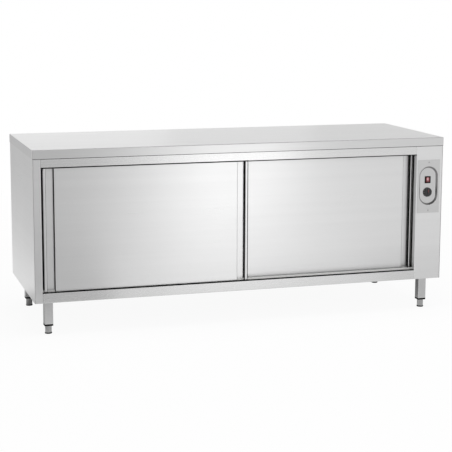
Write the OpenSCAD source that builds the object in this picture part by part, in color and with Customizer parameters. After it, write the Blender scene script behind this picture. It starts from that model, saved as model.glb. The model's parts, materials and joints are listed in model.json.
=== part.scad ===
// Ventilated hot cupboard: insulated stainless cabinet on four legs, with two hanging
// sliding doors, one shelf and a fan heater behind the control pillar.
// Millimetres. +X right, +Y from the front to the back, +Z up.
// The origin lies on the floor under the middle of the worktop.

/* [Overall] */
// Width over the worktop
worktop_w = 2000; // [1700:10:2400]
// Depth over the worktop
worktop_d = 700; // [640:10:800]
// Height from the floor to the top of the worktop
cabinet_h = 850; // [820:5:950]

/* [Worktop] */
// Height of the folded edge
lip_h = 40; // [34:1:60]
// Sheet thickness of the worktop
worktop_t = 1.5; // [1:0.1:2.5]
// Inward return under the folded edge
lip_return = 14; // [8:1:18]
// Overhang of the worktop beyond the carcass on every side
lip_proud = 2; // [1:0.5:6]
// Outer bend radius of the folded edge
lip_r = 3; // [2.6:0.2:5]

/* [Carcass] */
// Sheet thickness of the outer skins and front frame
sheet_t = 1.2; // [0.8:0.1:1.5]
// Sheet thickness of the inner liners
liner_t = 1; // [0.6:0.1:1.2]
// Inside bend radius of folded sheets
bend_r = 1.5; // [0.8:0.1:2]
// Width of the left front stile
stile_w = 36.5; // [32:0.5:60]
// Width of the control pillar at the right
pillar_w = 138; // [134:1:180]
// Depth of the pillar's return beside the doors
jamb_d = 25; // [15:1:30]
// Height of the rail above the doors
top_rail_h = 41; // [40:1:60]
// Height of the rail under the doors
bottom_rail_h = 45; // [40:1:70]
// Drop from the bottom rail's edge to the cabinet floor
sill_drop = 6; // [4:0.5:9]
// Thickness of the insulated back wall
back_wall_t = 38; // [30:1:60]

/* [Doors] */
// Thickness of each door
door_t = 30; // [28:1:36]
// Front door face behind the front frame
door_setback = 10; // [9:0.5:20]
// Free gap between the two doors
door_gap = 4; // [3:0.5:8]
// Overlap of the closed doors in the middle
door_overlap = 103; // [60:1:160]
// Gap between the closed front door and the stile
door_end_gap = 9.5; // [4:0.5:15]
// Reach of the closed rear door behind the pillar
door_tuck = 1.5; // [0:0.5:6]
// Gap between the doors and the top rail's edge
door_head_gap = 4; // [3:0.5:6]
// Height of the doors' foot above the sill's edge, which covers it where this is below zero
door_lift = -1.5; // [-2:0.5:1]
// Sheet thickness of the door skins
door_sheet_t = 1; // [0.8:0.1:1.2]
// Width of the grip zone at each door end
grip_w = 50; // [44:1:70]
// Width of the bead on the door's outer edge
grip_bead = 12; // [10:0.5:16]
// Depth of the recessed grip
grip_d = 18; // [17.5:0.5:26.5]

/* [Door hardware] */
// Running radius of a door roller
roller_r = 9.5; // [8:0.5:10]
// Flange radius of a door roller
roller_flange_r = 12; // [11:0.5:12.5]
// Width of a door roller
roller_w = 9; // [7:0.5:10]
// Radius of a roller axle
axle_r = 4; // [3:0.5:5]
// Distance of a roller from the door's end
hanger_inset = 150; // [110:5:250]
// Height of the rolling edge above the track's underside
rail_edge_h = 14; // [12:0.5:15]
// Height of the guide fins above the cabinet floor
fin_h = 16; // [13:0.5:18]

/* [Shelf] */
// Height of the shelf above the cabinet floor
shelf_rise = 286; // [200:1:380]
// Height of the shelf's folded edges
shelf_edge_h = 30; // [20:1:40]

/* [Controls] */
// Width of the control plate
plate_w = 116; // [112:1:120]
// Height of the control plate
plate_h = 260; // [250:1:320]
// Top edge of the plate below the worktop's folded edge
plate_drop = 68; // [45:1:120]
// Width of the pressed dish
dish_w = 98.5; // [92:0.5:101]
// Height of the pressed dish
dish_h = 189; // [175:1:200]
// Depth of the pressed dish
dish_d = 12; // [8:0.5:16]
// Slope of the dish wall, seen from the front
dish_slope = 8; // [5:0.5:10]
// Width of the switch bezel
switch_w = 30; // [28:0.5:36]
// Height of the switch bezel
switch_h = 34; // [32:0.5:40]
// Radius of the thermostat knob's skirt
knob_r = 23; // [21:0.5:26]
// Height of the thermostat knob
knob_h = 12; // [11:0.5:16]

/* [Heater and fan] */
// Side of the square fan housing
fan_box_w = 250; // [236:2:300]
// Depth of the fan housing
fan_box_d = 42; // [40:1:46]
// Radius of the impeller
impeller_r = 75; // [65:1:80]
// Radius of the heating ring
element_ring_r = 98; // [94:1:104]
// Radius of the heating tube
element_r = 4; // [3:0.2:5]

/* [Legs and feet] */
// Side of the square leg tube
leg_w = 40; // [34:1:50]
// Wall of the leg tube
leg_t = 1.5; // [1:0.1:2.5]
// Length of leg tube that shows under the body
leg_len = 109; // [95:1:180]
// Leg centre from the worktop's ends
leg_inset_x = 71; // [66:1:90]
// Leg centre from the worktop's front and back
leg_inset_y = 68; // [64:1:90]
// Height of a foot
foot_h = 37.7; // [30:0.5:50]
// Radius of a foot's sleeve
foot_r = 15; // [12:0.5:17]
// How far a foot screws out
foot_travel = 30; // [10:1:40]

/* [Hidden] */
$fn = 48;

// Overrun of every cut
cut = 1;
// Gap where curved or moving pieces seat
seat_gap = 0.3;
// Radial clearance of a running shaft
run_gap = 0.05;
// Radial clearance of a fixed pin in its hole
fit_gap = 0.02;

// Folds and gaps of the carcass sheets
insert_flange_t = 8;
leg_plate_t = 3;
leg_plate_w = 100;
side_return = 18;
post_return = 20;
pan_flange = 24;
rail_foot = 20;
rail_head = 20;
rail_hem = 6;
sill_top = 8;
liner_flange = 14;
pocket_gap = 4;
liner_step = 15;
slab_gap = 1.5;
hat_w = 60;
hat_flange = 18;
hat_clear = 5;
hat_place_share = 0.27;

// Carcass planes
body_z = foot_h + seat_gap + insert_flange_t + leg_len;
deck_z = cabinet_h - lip_h;
front_y = lip_proud - worktop_d / 2;
back_y = worktop_d / 2 - lip_proud;
side_x = worktop_w / 2 - lip_proud;
opening_x0 = stile_w - side_x;
opening_x1 = side_x - pillar_w;
opening_z0 = body_z + bottom_rail_h;
opening_z1 = deck_z - top_rail_h;
floor_z = opening_z0 - sill_drop;
pan_z = body_z + sheet_t;
back_in_y = back_y - sheet_t;
liner_y = back_y - back_wall_t;
pocket_y = front_y + door_setback + 2 * door_t + door_gap + pocket_gap;
wall_x = opening_x1 + liner_step;
post_z = pan_z + sheet_t + leg_plate_t + seat_gap;

// Ventilation slots in the base under the heater compartment
vent_n = 8;
vent_w = 6;
vent_len = 60;
vent_pitch = 16;
vent_y_share = 0.1;

// Doors
opening_w = opening_x1 - opening_x0;
door_w = (opening_w - door_end_gap + door_tuck + door_overlap) / 2;
door_z = opening_z0 + door_lift;
door_h = opening_z1 - door_head_gap - door_z;
front_door_at = [opening_x0 + door_end_gap, front_y + door_setback, door_z];
rear_door_at = [opening_x1 + door_tuck - door_w, front_door_at.y + door_t + door_gap, door_z];
bead_r = 2.4;
bead_corner_r = 7;
bead_plug_h = 14;
grip_flange = 10;
skin_head = 22;
skin_foot = 9;
back_fold = 12;
core_gap = 1.5;

// Door hangers, rollers and track, measured from each door's face
track_t = 1.5;
track_front = -2;
roller_mid = 13;
groove_w = 3.4;
hanger_t = 2.5;
hanger_w = 56;
hanger_mid = 23.25;
hanger_rise = 10;
hanger_foot = 5;
bolt_head_r = 6.5;
bolt_head_h = 3;
axle_z = opening_z1 + rail_edge_h + seat_gap + roller_r;

// Bottom guide
guide_t = 1.2;
fin_t = 2;
shoe_len = 44;
shoe_inset = 70;
shoe_w = 24;
shoe_flange_h = 8;
shoe_h = 20;
shoe_neck = 11;
shoe_slot = 3.4;
shoe_slot_h = 15;

// Shelf and its supports
shelf_z = floor_z + shelf_rise;
upright_w = 22;
upright_d = 8;
upright_gap = 36;
upright_place_share = 0.32;
slot_pitch = 50;
slot_h = 12;
slot_w = 5;
bracket_len = 62;
bracket_h = 24;
bracket_t = 2;
shelf_gap = 2;
shelf_hem = 10;
shelf_front_gap = 6;

// Control plate
plate_t = 1;
plate_shift = -3;
plate_x = opening_x1 + pillar_w / 2 + plate_shift;
plate_z = deck_z - plate_drop - plate_h / 2;
dish_lift = 3;
dish_rim_r = 3;
dish_floor_r = 4;
dish_z = plate_z + dish_lift;
plate_corner_r = 3;
window_gap = 2;
plate_front = front_y - plate_t;
dish_floor = plate_front + dish_d;
screw_r = 2;
screw_head_r = 4;
screw_head_h = 1;
screw_len = 10;
screw_edge = 12.5;

// Rocker switch
switch_rise = 28;
switch_z = dish_z + switch_rise;
bezel_t = 2.4;
switch_wall = 2.2;
switch_body_d = 26;
rocker_gap = 0.5;
switch_frame = 4.6;
rocker_w = switch_w - 2 * switch_frame;
rocker_h = switch_h - 2 * switch_frame;
rocker_tip = 5;
rocker_waist = 2.6;
rocker_back = 6;
rocker_axis = 1;
rocker_pin_r = 1.5;
rocker_pin_l = 1.2;
pin_span = rocker_w + 2 * rocker_pin_l;
rocker_rest = 8;
tab_w = 6.3;
tab_t = 0.8;
tab_l = 9;

// Thermostat and its knob
knob_drop = 33;
knob_z = dish_z - knob_drop;
knob_gap = 1;
skirt_h = 4;
knob_hub_share = 0.8;
knob_hub_r = knob_r * knob_hub_share;
pointer_share = 0.86;
pointer_w = 7;
pointer_h = 3;
flute_n = 12;
flute_r = 2.6;
flute_share = 1.06;
spindle_r = 3;
spindle_grip = 7;
bush_r = 5;
bush_len = 7;
stat_w = 34;
stat_h = 40;
stat_d = 24;
stat_neck_r = 12;
stat_neck_h = 6;
bulb_r = 3;
bulb_len = 60;
capillary_r = 1;
capillary_bend = 12;
bulb_off = 8;
bulb_z_off = 60;
bulb_clip_w = 8;

// Fan heater
fan_y = (pocket_y + liner_y) / 2;
fan_z = (floor_z + opening_z1) / 2;
fan_x = wall_x + liner_t;
fan_flange = 14;
hub_r = 11;
hub_len = 14;
shaft_r = 3;
impeller_gap = 8;
blade_n = 18;
blade_h = 22;
blade_t = 1.2;
blade_r = 34;
blade_root_share = 0.62;
plate_back_t = 1.2;
eye_share = 0.58;
motor_w = 62;
motor_h = 58;
motor_d = 22;
motor_cap_r = 21;
motor_cap_h = 10;
motor_stand = 8;
motor_foot_r = 4;
motor_foot_share = 0.38;
shaft_gap = 6;
element_gap_a = 24;
element_leg = 26;
element_bend = 10;
element_nut_r = 7;
element_nut_h = 4;

// Air openings in the right liner
inlet_r = 58;
inlet_hole_r = 3.2;
inlet_pitch = 11;
outlet_n = 9;
outlet_w = 16;
outlet_h = 4;
outlet_rows = 3;
outlet_row_pitch = 9;
outlet_pitch = 22;
outlet_off_share = 0.4;

// Mains inlet
block_w = 62;
block_d = 18;
block_h = 22;
block_pole_n = 5;
block_hole_r = 2.2;
block_y_share = 0.22;
gland_y_share = 0.27;
gland_hex_r = 12;
gland_hex_h = 5;
gland_cap_r = 10;
gland_cap_h = 14;
gland_cap_top_share = 0.8;
gland_bore_r = 4.5;
gland_thread_r = 8;
gland_thread_h = 9;
gland_nut_h = 4;
hex_sides = 6;

// Legs and feet
leg_x = worktop_w / 2 - leg_inset_x;
leg_y = worktop_d / 2 - leg_inset_y;
leg_z = foot_h + seat_gap + insert_flange_t;
insert_plug_h = 26;
insert_r = 4;
stud_r = 5;
stud_turns = 8;
base_flare = 1;
base_r = foot_r + base_flare;
base_flare_h = 7;
foot_edge = 1.2;
stud_len = insert_flange_t + insert_plug_h + foot_travel - stud_turns;

// A straight block between two corners
module slab(a, b) {
    translate(a) cube(b - a);
}

// Extrusions of a flat profile along each axis
module along_x(x0, x1) {
    translate([x0, 0, 0]) rotate([90, 0, 90]) linear_extrude(x1 - x0) children();
}
module along_y(y0, y1) {
    translate([0, y1, 0]) rotate([90, 0, 0]) linear_extrude(y1 - y0) children();
}
module along_z(z0, z1) {
    translate([0, 0, z0]) linear_extrude(z1 - z0) children();
}

function unit(v) = v / norm(v);

// The square corner zone of a bend, from its centre c out to a reach along both legs
module bend_zone(c, d_in, d_out, reach) {
    left_turn = cross(d_in, d_out) > 0;
    a = (left_turn ? -d_out : d_in) * reach;
    b = (left_turn ? d_in : -d_out) * reach;
    polygon([c, c + a, c + a + b, c + b]);
}

// A bent sheet: straight legs along the middle line of a path, with a true bend at each corner
module fold(path, t, r) {
    last = len(path) - 1;
    dirs = [for (i = [0 : last - 1]) unit(path[i + 1] - path[i])];
    turns = [for (i = [1 : last - 1]) path[i] + (dirs[i] - dirs[i - 1]) * (r + t / 2)];
    difference() {
        union() {
            for (i = [0 : last - 1]) {
                start = path[i] - (i == 0 ? 0 : t / 2) * dirs[i];
                stop = path[i + 1] + (i == last - 1 ? 0 : t / 2) * dirs[i];
                half = [-dirs[i].y, dirs[i].x] * t / 2;
                polygon([start - half, stop - half, stop + half, start + half]);
            }
            for (i = [1 : last - 1]) difference() {
                bend_zone(turns[i - 1], dirs[i - 1], dirs[i], r + t / 2);
                translate(turns[i - 1]) circle(r = r);
            }
        }
        for (i = [1 : last - 1]) difference() {
            bend_zone(turns[i - 1], dirs[i - 1], dirs[i], r + 2 * t);
            translate(turns[i - 1]) circle(r = r + t);
        }
    }
}

// A rectangle with four round corners, centred
module round_rect(w, h, r) {
    square([w, h - 2 * r], center = true);
    square([w - 2 * r, h], center = true);
    for (x = [-1, 1], y = [-1, 1]) translate([x * (w / 2 - r), y * (h / 2 - r)]) circle(r = r);
}

// A standing rectangle with only its two upper corners round
module arch_rect(w, z0, z1, r) {
    translate([-w / 2, z0]) square([w, z1 - z0 - r]);
    translate([r - w / 2, z0]) square([w - 2 * r, z1 - z0]);
    for (x = [-1, 1]) translate([x * (w / 2 - r), z1 - r]) circle(r = r);
}

// A block whose upper and upright edges are round
module soft_block(w, d, z0, z1, r) {
    intersection() {
        along_x(-w / 2, w / 2) arch_rect(d, z0, z1, r);
        along_y(-d / 2, d / 2) arch_rect(w, z0, z1, r);
        along_z(z0, z1) round_rect(w, d, r);
    }
}

// Worktop: a folded tray with returns, turned upside down on the carcass
module worktop() {
    color("gainsboro") difference() {
        soft_block(worktop_w, worktop_d, deck_z, cabinet_h, lip_r);
        soft_block(worktop_w - 2 * worktop_t, worktop_d - 2 * worktop_t, deck_z + worktop_t,
            cabinet_h - worktop_t, lip_r - worktop_t);
        translate([0, 0, deck_z - cut])
            linear_extrude(worktop_t + 2 * cut)
            square([worktop_w - 2 * lip_return, worktop_d - 2 * lip_return], center = true);
    }
}

// Two hat sections under the worktop
module worktop_stiffeners() {
    top = cabinet_h - worktop_t - sheet_t / 2;
    low = deck_z + worktop_t + hat_clear;
    half = hat_w / 2;
    wide = half + hat_flange;
    color("lightgray") for (side = [-1, 1])
        translate([0, side * hat_place_share * worktop_d, 0])
            along_x(opening_x0, -opening_x0)
            fold([[-wide, top], [-half, top], [-half, low], [half, low], [half, top], [wide, top]],
                sheet_t, bend_r);
}

// Side panel: one skin with a return behind; the same sheet serves both sides
module side_panel() {
    face = side_x - sheet_t / 2;
    rear = back_in_y - sheet_t / 2;
    along_z(body_z, deck_z)
        fold([[face, front_y], [face, rear], [face - side_return, rear]], sheet_t, bend_r);
}
module left_panel() {
    color("silver") mirror([1, 0, 0]) side_panel();
}
module right_panel() {
    color("silver") side_panel();
}

// Back panel with a return under the base
module back_panel() {
    rear = back_y - sheet_t / 2;
    foot = body_z + sheet_t / 2;
    color("silver") difference() {
        along_x(-side_x, side_x)
            fold([[rear - rail_foot, foot], [rear, foot], [rear, deck_z]], sheet_t, bend_r);
        for (side = [0, 1]) mirror([side, 0, 0])
            slab([side_x - sheet_t - side_return - seat_gap, rear - rail_foot - cut, body_z - cut],
                [side_x + cut, back_in_y, pan_z + bend_r]);
    }
}

// Base pan with upturned ends, leg openings and vents under the heater compartment
module base_pan() {
    end = side_x - sheet_t * 3 / 2;
    mid = pan_z + sheet_t / 2;
    color("silver") difference() {
        along_y(front_y + post_return + seat_gap, back_in_y - sheet_t - bend_r - seat_gap)
            fold([[-end, pan_z + pan_flange], [-end, mid], [end, mid], [end, pan_z + pan_flange]],
                sheet_t, bend_r);
        for (x = [-1, 1], y = [-1, 1]) translate([x * leg_x, y * leg_y, pan_z - cut])
            linear_extrude(sheet_t + 2 * cut) square(leg_w + 2 * seat_gap, center = true);
        for (i = [0 : vent_n - 1])
            translate([leg_x - vent_len / 2, vent_y(i), pan_z - cut])
            cube([vent_len, vent_w, sheet_t + 2 * cut]);
        translate([leg_x, gland_y, pan_z - cut])
            cylinder(r = gland_thread_r + seat_gap, h = sheet_t + 2 * cut);
    }
}
function vent_y(i) = -vent_y_share * worktop_d + (i - vent_n / 2) * vent_pitch;
gland_y = gland_y_share * worktop_d;

// Clears the base pan and the leg plates from under a post's returns
module post_foot_cut() {
    slab([-side_x - cut, front_y + sheet_t + bend_r, body_z - cut],
        [side_x + cut, pocket_y + cut, post_z]);
}

// Left front stile: face, jamb beside the doors and a return behind the side panel
module left_stile() {
    outer = sheet_t * 3 / 2 - side_x;
    inner = opening_x0 - sheet_t / 2;
    face = front_y + sheet_t / 2;
    color("silver") difference() {
        along_z(body_z, deck_z)
            fold([[outer, front_y + post_return], [outer, face], [inner, face],
                [inner, pocket_y - seat_gap]], sheet_t, bend_r);
        post_foot_cut();
    }
}

// Control pillar: wide face with a window behind the control plate
module control_pillar() {
    outer = side_x - sheet_t * 3 / 2;
    inner = opening_x1 + sheet_t / 2;
    face = front_y + sheet_t / 2;
    color("silver") difference() {
        along_z(body_z, deck_z)
            fold([[outer, front_y + post_return], [outer, face], [inner, face],
                [inner, front_y + jamb_d]], sheet_t, bend_r);
        post_foot_cut();
        translate([plate_x, 0, dish_z]) along_y(front_y - cut, front_y + sheet_t + cut)
            round_rect(dish_w + 2 * window_gap, dish_h + 2 * window_gap, dish_w / 2);
        for (z = plate_screw_z) translate([plate_x, front_y - cut, z]) rotate([-90, 0, 0])
            cylinder(r = screw_r + fit_gap, h = sheet_t + 2 * cut);
    }
}
plate_screw_z = [for (side = [-1, 1]) plate_z + side * (plate_h / 2 - screw_edge)];

// Rail above the doors
module top_rail() {
    face = front_y + sheet_t / 2;
    low = opening_z1 + sheet_t / 2;
    high = deck_z - sheet_t / 2;
    color("silver") along_x(opening_x0, opening_x1)
        fold([[front_y + rail_hem, low], [face, low], [face, high], [front_y + rail_head, high]],
            sheet_t, bend_r);
}

// Rail under the doors: foot under the base pan, face, rounded edge and a hem down to the floor
module bottom_rail() {
    face = front_y + sheet_t / 2;
    foot = body_z + sheet_t / 2;
    edge = opening_z0 - sheet_t / 2;
    hem = front_y + sill_top - sheet_t / 2;
    color("silver") along_x(opening_x0, opening_x1)
        fold([[front_y + rail_foot, foot], [face, foot], [face, edge], [hem, edge], [hem, floor_z]],
            sheet_t, bend_r);
}

// Inner liners of the cabinet
module left_liner() {
    face = opening_x0 - liner_t / 2;
    color("lightgray") along_z(floor_z, opening_z1)
        fold([[face - liner_flange, pocket_y + liner_t / 2], [face, pocket_y + liner_t / 2],
            [face, liner_y - liner_t / 2], [face - liner_flange, liner_y - liner_t / 2]], liner_t, bend_r);
}

// Right liner: wall of the heater compartment with the fan's inlet holes and outlet slots
module right_liner() {
    face = wall_x + liner_t / 2;
    lead = front_y + jamb_d + liner_t / 2;
    rear = liner_y - liner_t / 2;
    color("lightgray") difference() {
        along_z(post_z, deck_z - sheet_t - seat_gap)
            fold([[opening_x1, lead], [face, lead], [face, rear], [face + liner_flange, rear]],
                liner_t, bend_r);
        translate([0, fan_y, fan_z]) {
            for (p = inlet_holes) translate([wall_x - cut, p.x, p.y]) rotate([0, 90, 0])
                cylinder(r = inlet_hole_r, h = liner_t + 2 * cut);
            for (side = [-1, 1], row = [0 : outlet_rows - 1], i = [0 : outlet_n - 1])
                translate([wall_x - cut, (i - (outlet_n - 1) / 2) * outlet_pitch - outlet_w / 2,
                    side * outlet_off_share * fan_box_w + (row - outlet_rows / 2) * outlet_row_pitch])
                cube([liner_t + 2 * cut, outlet_w, outlet_h]);
        }
        translate([wall_x - cut, bulb_y, bulb_z]) rotate([0, 90, 0])
            cylinder(r = capillary_r + seat_gap, h = liner_t + 2 * cut);
    }
}

// Staggered rows of holes inside the fan's inlet circle
inlet_row = inlet_pitch * sin(60);
inlet_rows = floor(inlet_r / inlet_row);
inlet_holes = [for (row = [-inlet_rows : inlet_rows], i = [-inlet_rows - 1 : inlet_rows + 1])
    let (p = [(i + (row % 2 == 0 ? 0 : 1 / 2)) * inlet_pitch, row * inlet_row])
    if (norm(p) + inlet_hole_r < inlet_r) p];

module back_liner() {
    face = liner_y + liner_t / 2;
    low = floor_z + liner_t / 2;
    high = opening_z1 - liner_t / 2;
    color("lightgray") along_x(opening_x0, wall_x)
        fold([[face + liner_flange, low], [face, low], [face, high], [face + liner_flange, high]],
            liner_t, bend_r);
}

// Floor, cut out round the pillar's return
module floor_liner() {
    lead = front_y + sill_top + liner_t / 2;
    rear = liner_y - liner_t / 2;
    face = floor_z - liner_t / 2;
    low = face - liner_flange;
    color("lightgray") difference() {
        along_x(opening_x0, wall_x)
            fold([[lead, low], [lead, face], [rear, face], [rear, low]], liner_t, bend_r);
        slab([opening_x1, front_y, low - cut],
            [wall_x + cut, front_y + jamb_d + liner_t + bend_r, floor_z + cut]);
    }
}

module ceiling_liner() {
    lead = pocket_y + liner_t / 2;
    rear = liner_y - liner_t / 2;
    face = opening_z1 + liner_t / 2;
    color("lightgray") along_x(opening_x0, wall_x)
        fold([[lead, deck_z - sheet_t], [lead, face], [rear, face], [rear, face + liner_flange]],
            liner_t, bend_r);
}

// Mineral wool slabs between the skins: left, back, floor and ceiling
module insulation_slabs() {
    x0 = opening_x0 + slab_gap;
    x1 = opening_x1 - slab_gap;
    y0 = pocket_y + liner_t + slab_gap;
    y1 = liner_y - liner_t - slab_gap;
    low = floor_z - liner_t;
    high = opening_z1 + liner_t;
    color("khaki") {
        slab([sheet_t * 2 + slab_gap - side_x, y0, post_z + slab_gap],
            [opening_x0 - liner_t, y1, deck_z - slab_gap]);
        slab([x0, liner_y + liner_t, post_z + slab_gap], [x1, back_in_y, floor_z - slab_gap]);
        slab([x0, liner_y + liner_t, floor_z + liner_t + slab_gap],
            [x1, back_in_y, opening_z1 - liner_t - slab_gap]);
        slab([x0, front_y + sill_top + liner_t + slab_gap, post_z + slab_gap], [x1, y1, low]);
        slab([x0, y0, high], [x1, y1, deck_z - slab_gap]);
    }
}

// Double track above the doors: each run hooks up into an edge that carries the rollers
module track_hook(face_y) {
    web = face_y + track_front;
    edge = face_y + roller_mid;
    foot = opening_z1 + track_t / 2;
    high = deck_z - sheet_t - track_t / 2;
    fold([[web + post_return, high], [web, high], [web, foot], [edge, foot],
        [edge, opening_z1 + rail_edge_h]], track_t, bend_r);
}
module door_track() {
    color("darkgray") along_x(opening_x0, opening_x1) {
        track_hook(front_door_at.y);
        track_hook(rear_door_at.y);
        translate([front_door_at.y + track_front, deck_z - sheet_t - track_t])
            square([door_t + door_gap, track_t]);
    }
}

// Bottom guide: a strip on the cabinet floor with one fin under each door
module door_guide() {
    color("dimgray") along_x(opening_x0, opening_x1) {
        translate([front_y + sill_top, floor_z])
            square([pocket_y - front_y - sill_top, guide_t]);
        for (at = [front_door_at, rear_door_at])
            translate([at.y + door_t / 2 - fin_t / 2, floor_z]) square([fin_t, fin_h]);
    }
}

// Shelf: folded sheet with downturned and hemmed long edges
shelf_x0 = opening_x0 + upright_d + shelf_gap;
shelf_x1 = wall_x - upright_d - shelf_gap;
module shelf() {
    lead = pocket_y + shelf_front_gap + liner_t / 2;
    rear = liner_y - shelf_front_gap - liner_t / 2;
    face = shelf_z - liner_t / 2;
    low = shelf_z - shelf_edge_h + liner_t / 2;
    color("lightgray") along_x(shelf_x0, shelf_x1)
        fold([[lead + shelf_hem, low], [lead, low], [lead, face], [rear, face], [rear, low],
            [rear - shelf_hem, low]], liner_t, bend_r);
}

// Slotted uprights on the side liners
upright_y = [for (side = [-1, 1]) fan_y + side * upright_place_share * (liner_y - pocket_y)];
upright_z0 = floor_z + upright_gap;
upright_z1 = opening_z1 - upright_gap;
module upright(y) {
    half = upright_w / 2 - liner_t / 2;
    face = upright_d - liner_t / 2;
    slot_n = floor((upright_z1 - upright_z0) / slot_pitch) - 1;
    difference() {
        along_z(upright_z0, upright_z1)
            fold([[0, y - half], [face, y - half], [face, y + half], [0, y + half]], liner_t, bend_r);
        for (i = [1 : slot_n])
            translate([upright_d - liner_t - cut, y - slot_w / 2, upright_z0 + i * slot_pitch])
            cube([liner_t + 2 * cut, slot_w, slot_h]);
    }
}
module shelf_uprights() {
    color("lightgray") for (y = upright_y) {
        translate([opening_x0, 0, 0]) upright(y);
        translate([wall_x, 0, 0]) mirror([1, 0, 0]) upright(y);
    }
}

// Shelf brackets: angles on the uprights under the shelf
module bracket(y) {
    low = shelf_z - liner_t - bracket_t / 2;
    face = upright_d + bracket_t / 2;
    translate([0, y - upright_w / 2, 0]) along_y(0, upright_w)
        fold([[face, low - bracket_h], [face, low], [face + bracket_len, low]], bracket_t, bend_r);
}
module shelf_brackets() {
    color("silver") for (y = upright_y) {
        translate([opening_x0, 0, 0]) bracket(y);
        translate([wall_x, 0, 0]) mirror([1, 0, 0]) bracket(y);
    }
}

// Half section of the dish's hollow, in radius and depth, round at its rim and along its floor
module dish_section(inner) {
    rim = [dish_w / 2, 0];
    foot = [dish_w / 2 - dish_slope, dish_d];
    wall = unit(foot - rim);
    turn_share = tan(atan2(dish_d, dish_slope) / 2);
    rim_t = dish_rim_r * turn_share;
    foot_t = dish_floor_r * turn_share;
    difference() {
        union() {
            polygon([[inner, -cut], rim - [0, cut], rim, foot, [inner, dish_d]]);
            difference() {
                polygon([rim - [dish_rim_r, cut], rim + [rim_t, -cut], rim + [rim_t, dish_rim_r],
                    rim + wall * rim_t, rim + wall * rim_t - [dish_rim_r, 0]]);
                translate(rim + [rim_t, dish_rim_r]) circle(r = dish_rim_r);
            }
        }
        difference() {
            polygon([foot - [foot_t, dish_floor_r], foot - wall * foot_t, foot - wall * foot_t + [cut, 0],
                foot + [cut, cut], foot + [-foot_t, cut], foot - [foot_t, 0]]);
            translate(foot - [foot_t, dish_floor_r]) circle(r = dish_floor_r);
        }
    }
}

// The oblong hollow of the dish: two half turns joined by a straight run
module dish_hollow() {
    half = dish_h / 2 - dish_w / 2;
    translate([plate_x, plate_front, dish_z]) {
        for (end = [0, 180]) rotate([0, end, 0]) translate([0, 0, -half]) rotate([-90, 0, 0])
            rotate_extrude(angle = 180) dish_section(0);
        for (end = [0, 180]) rotate([0, end, 0]) along_z(-half, half) dish_section(-cut);
    }
}

// The dish's outside: two cones joined by a tapered bar
module dish_shell() {
    r0 = dish_w / 2 + plate_t;
    depth = dish_d + plate_t;
    r1 = r0 - dish_slope * depth / dish_d;
    half = dish_h / 2 - dish_w / 2;
    translate([plate_x, plate_front, dish_z]) {
        for (side = [-1, 1]) translate([0, 0, side * half]) rotate([-90, 0, 0])
            cylinder(r1 = r0, r2 = r1, h = depth);
        along_z(-half, half) polygon([[-r0, 0], [r0, 0], [r1, depth], [-r1, depth]]);
    }
}

// Control plate: thin cover with the pressed dish, cut for the switch, the spindle and two screws
module control_plate() {
    color("silver") difference() {
        union() {
            translate([plate_x, 0, plate_z]) along_y(plate_front, front_y)
                round_rect(plate_w, plate_h, plate_corner_r);
            dish_shell();
        }
        dish_hollow();
        translate([plate_x, 0, switch_z]) along_y(dish_floor - cut, dish_floor + plate_t + cut)
            square([switch_w - switch_wall, switch_h - switch_wall], center = true);
        translate([plate_x, dish_floor - cut, knob_z]) rotate([-90, 0, 0])
            cylinder(r = bush_r + fit_gap, h = plate_t + 2 * cut);
        for (z = plate_screw_z) translate([plate_x, plate_front - cut, z]) rotate([-90, 0, 0])
            cylinder(r = screw_r + fit_gap, h = plate_t + 2 * cut);
    }
}

module plate_screws() {
    color("lightgray") for (z = plate_screw_z) translate([plate_x, plate_front, z]) {
        rotate([90, 0, 0]) cylinder(r1 = screw_head_r, r2 = screw_r, h = screw_head_h);
        rotate([-90, 0, 0]) cylinder(r = screw_r, h = screw_len);
    }
}

// Switch housing: bezel on the dish floor and a hollow body behind it, with two tabs
module switch_housing() {
    body_w = switch_w - switch_wall - 2 * seat_gap;
    body_h = switch_h - switch_wall - 2 * seat_gap;
    color("black") translate([plate_x, dish_floor, switch_z]) {
        difference() {
            union() {
                along_y(-bezel_t, 0) round_rect(switch_w, switch_h, bezel_t);
                along_y(0, switch_body_d) square([body_w, body_h], center = true);
            }
            along_y(-bezel_t - cut, switch_body_d - switch_wall)
                square([rocker_w + 2 * rocker_gap, rocker_h + 2 * rocker_gap], center = true);
            translate([0, rocker_axis, 0]) rotate([0, 90, 0])
                cylinder(r = rocker_pin_r + run_gap, h = pin_span + 2 * seat_gap, center = true);
        }
        for (side = [-1, 1]) translate([-tab_w / 2, switch_body_d, side * body_h / 4 - tab_t / 2])
            cube([tab_w, tab_l, tab_t]);
    }
}

// Rocker: dished paddle on two pivot pins, resting with its lower end out
module switch_rocker() {
    half = rocker_h / 2 - rocker_gap;
    color("red") translate([plate_x, dish_floor + rocker_axis, switch_z]) {
        rotate([-rocker_rest, 0, 0])
            translate([-rocker_w / 2, 0, 0]) along_x(0, rocker_w)
            polygon([[-rocker_tip, -half], [-rocker_waist, 0], [-rocker_tip, half],
                [rocker_waist, half - rocker_axis], [rocker_back, 0], [rocker_waist, rocker_axis - half]]);
        rotate([0, 90, 0]) cylinder(r = rocker_pin_r, h = pin_span, center = true);
    }
}

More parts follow.
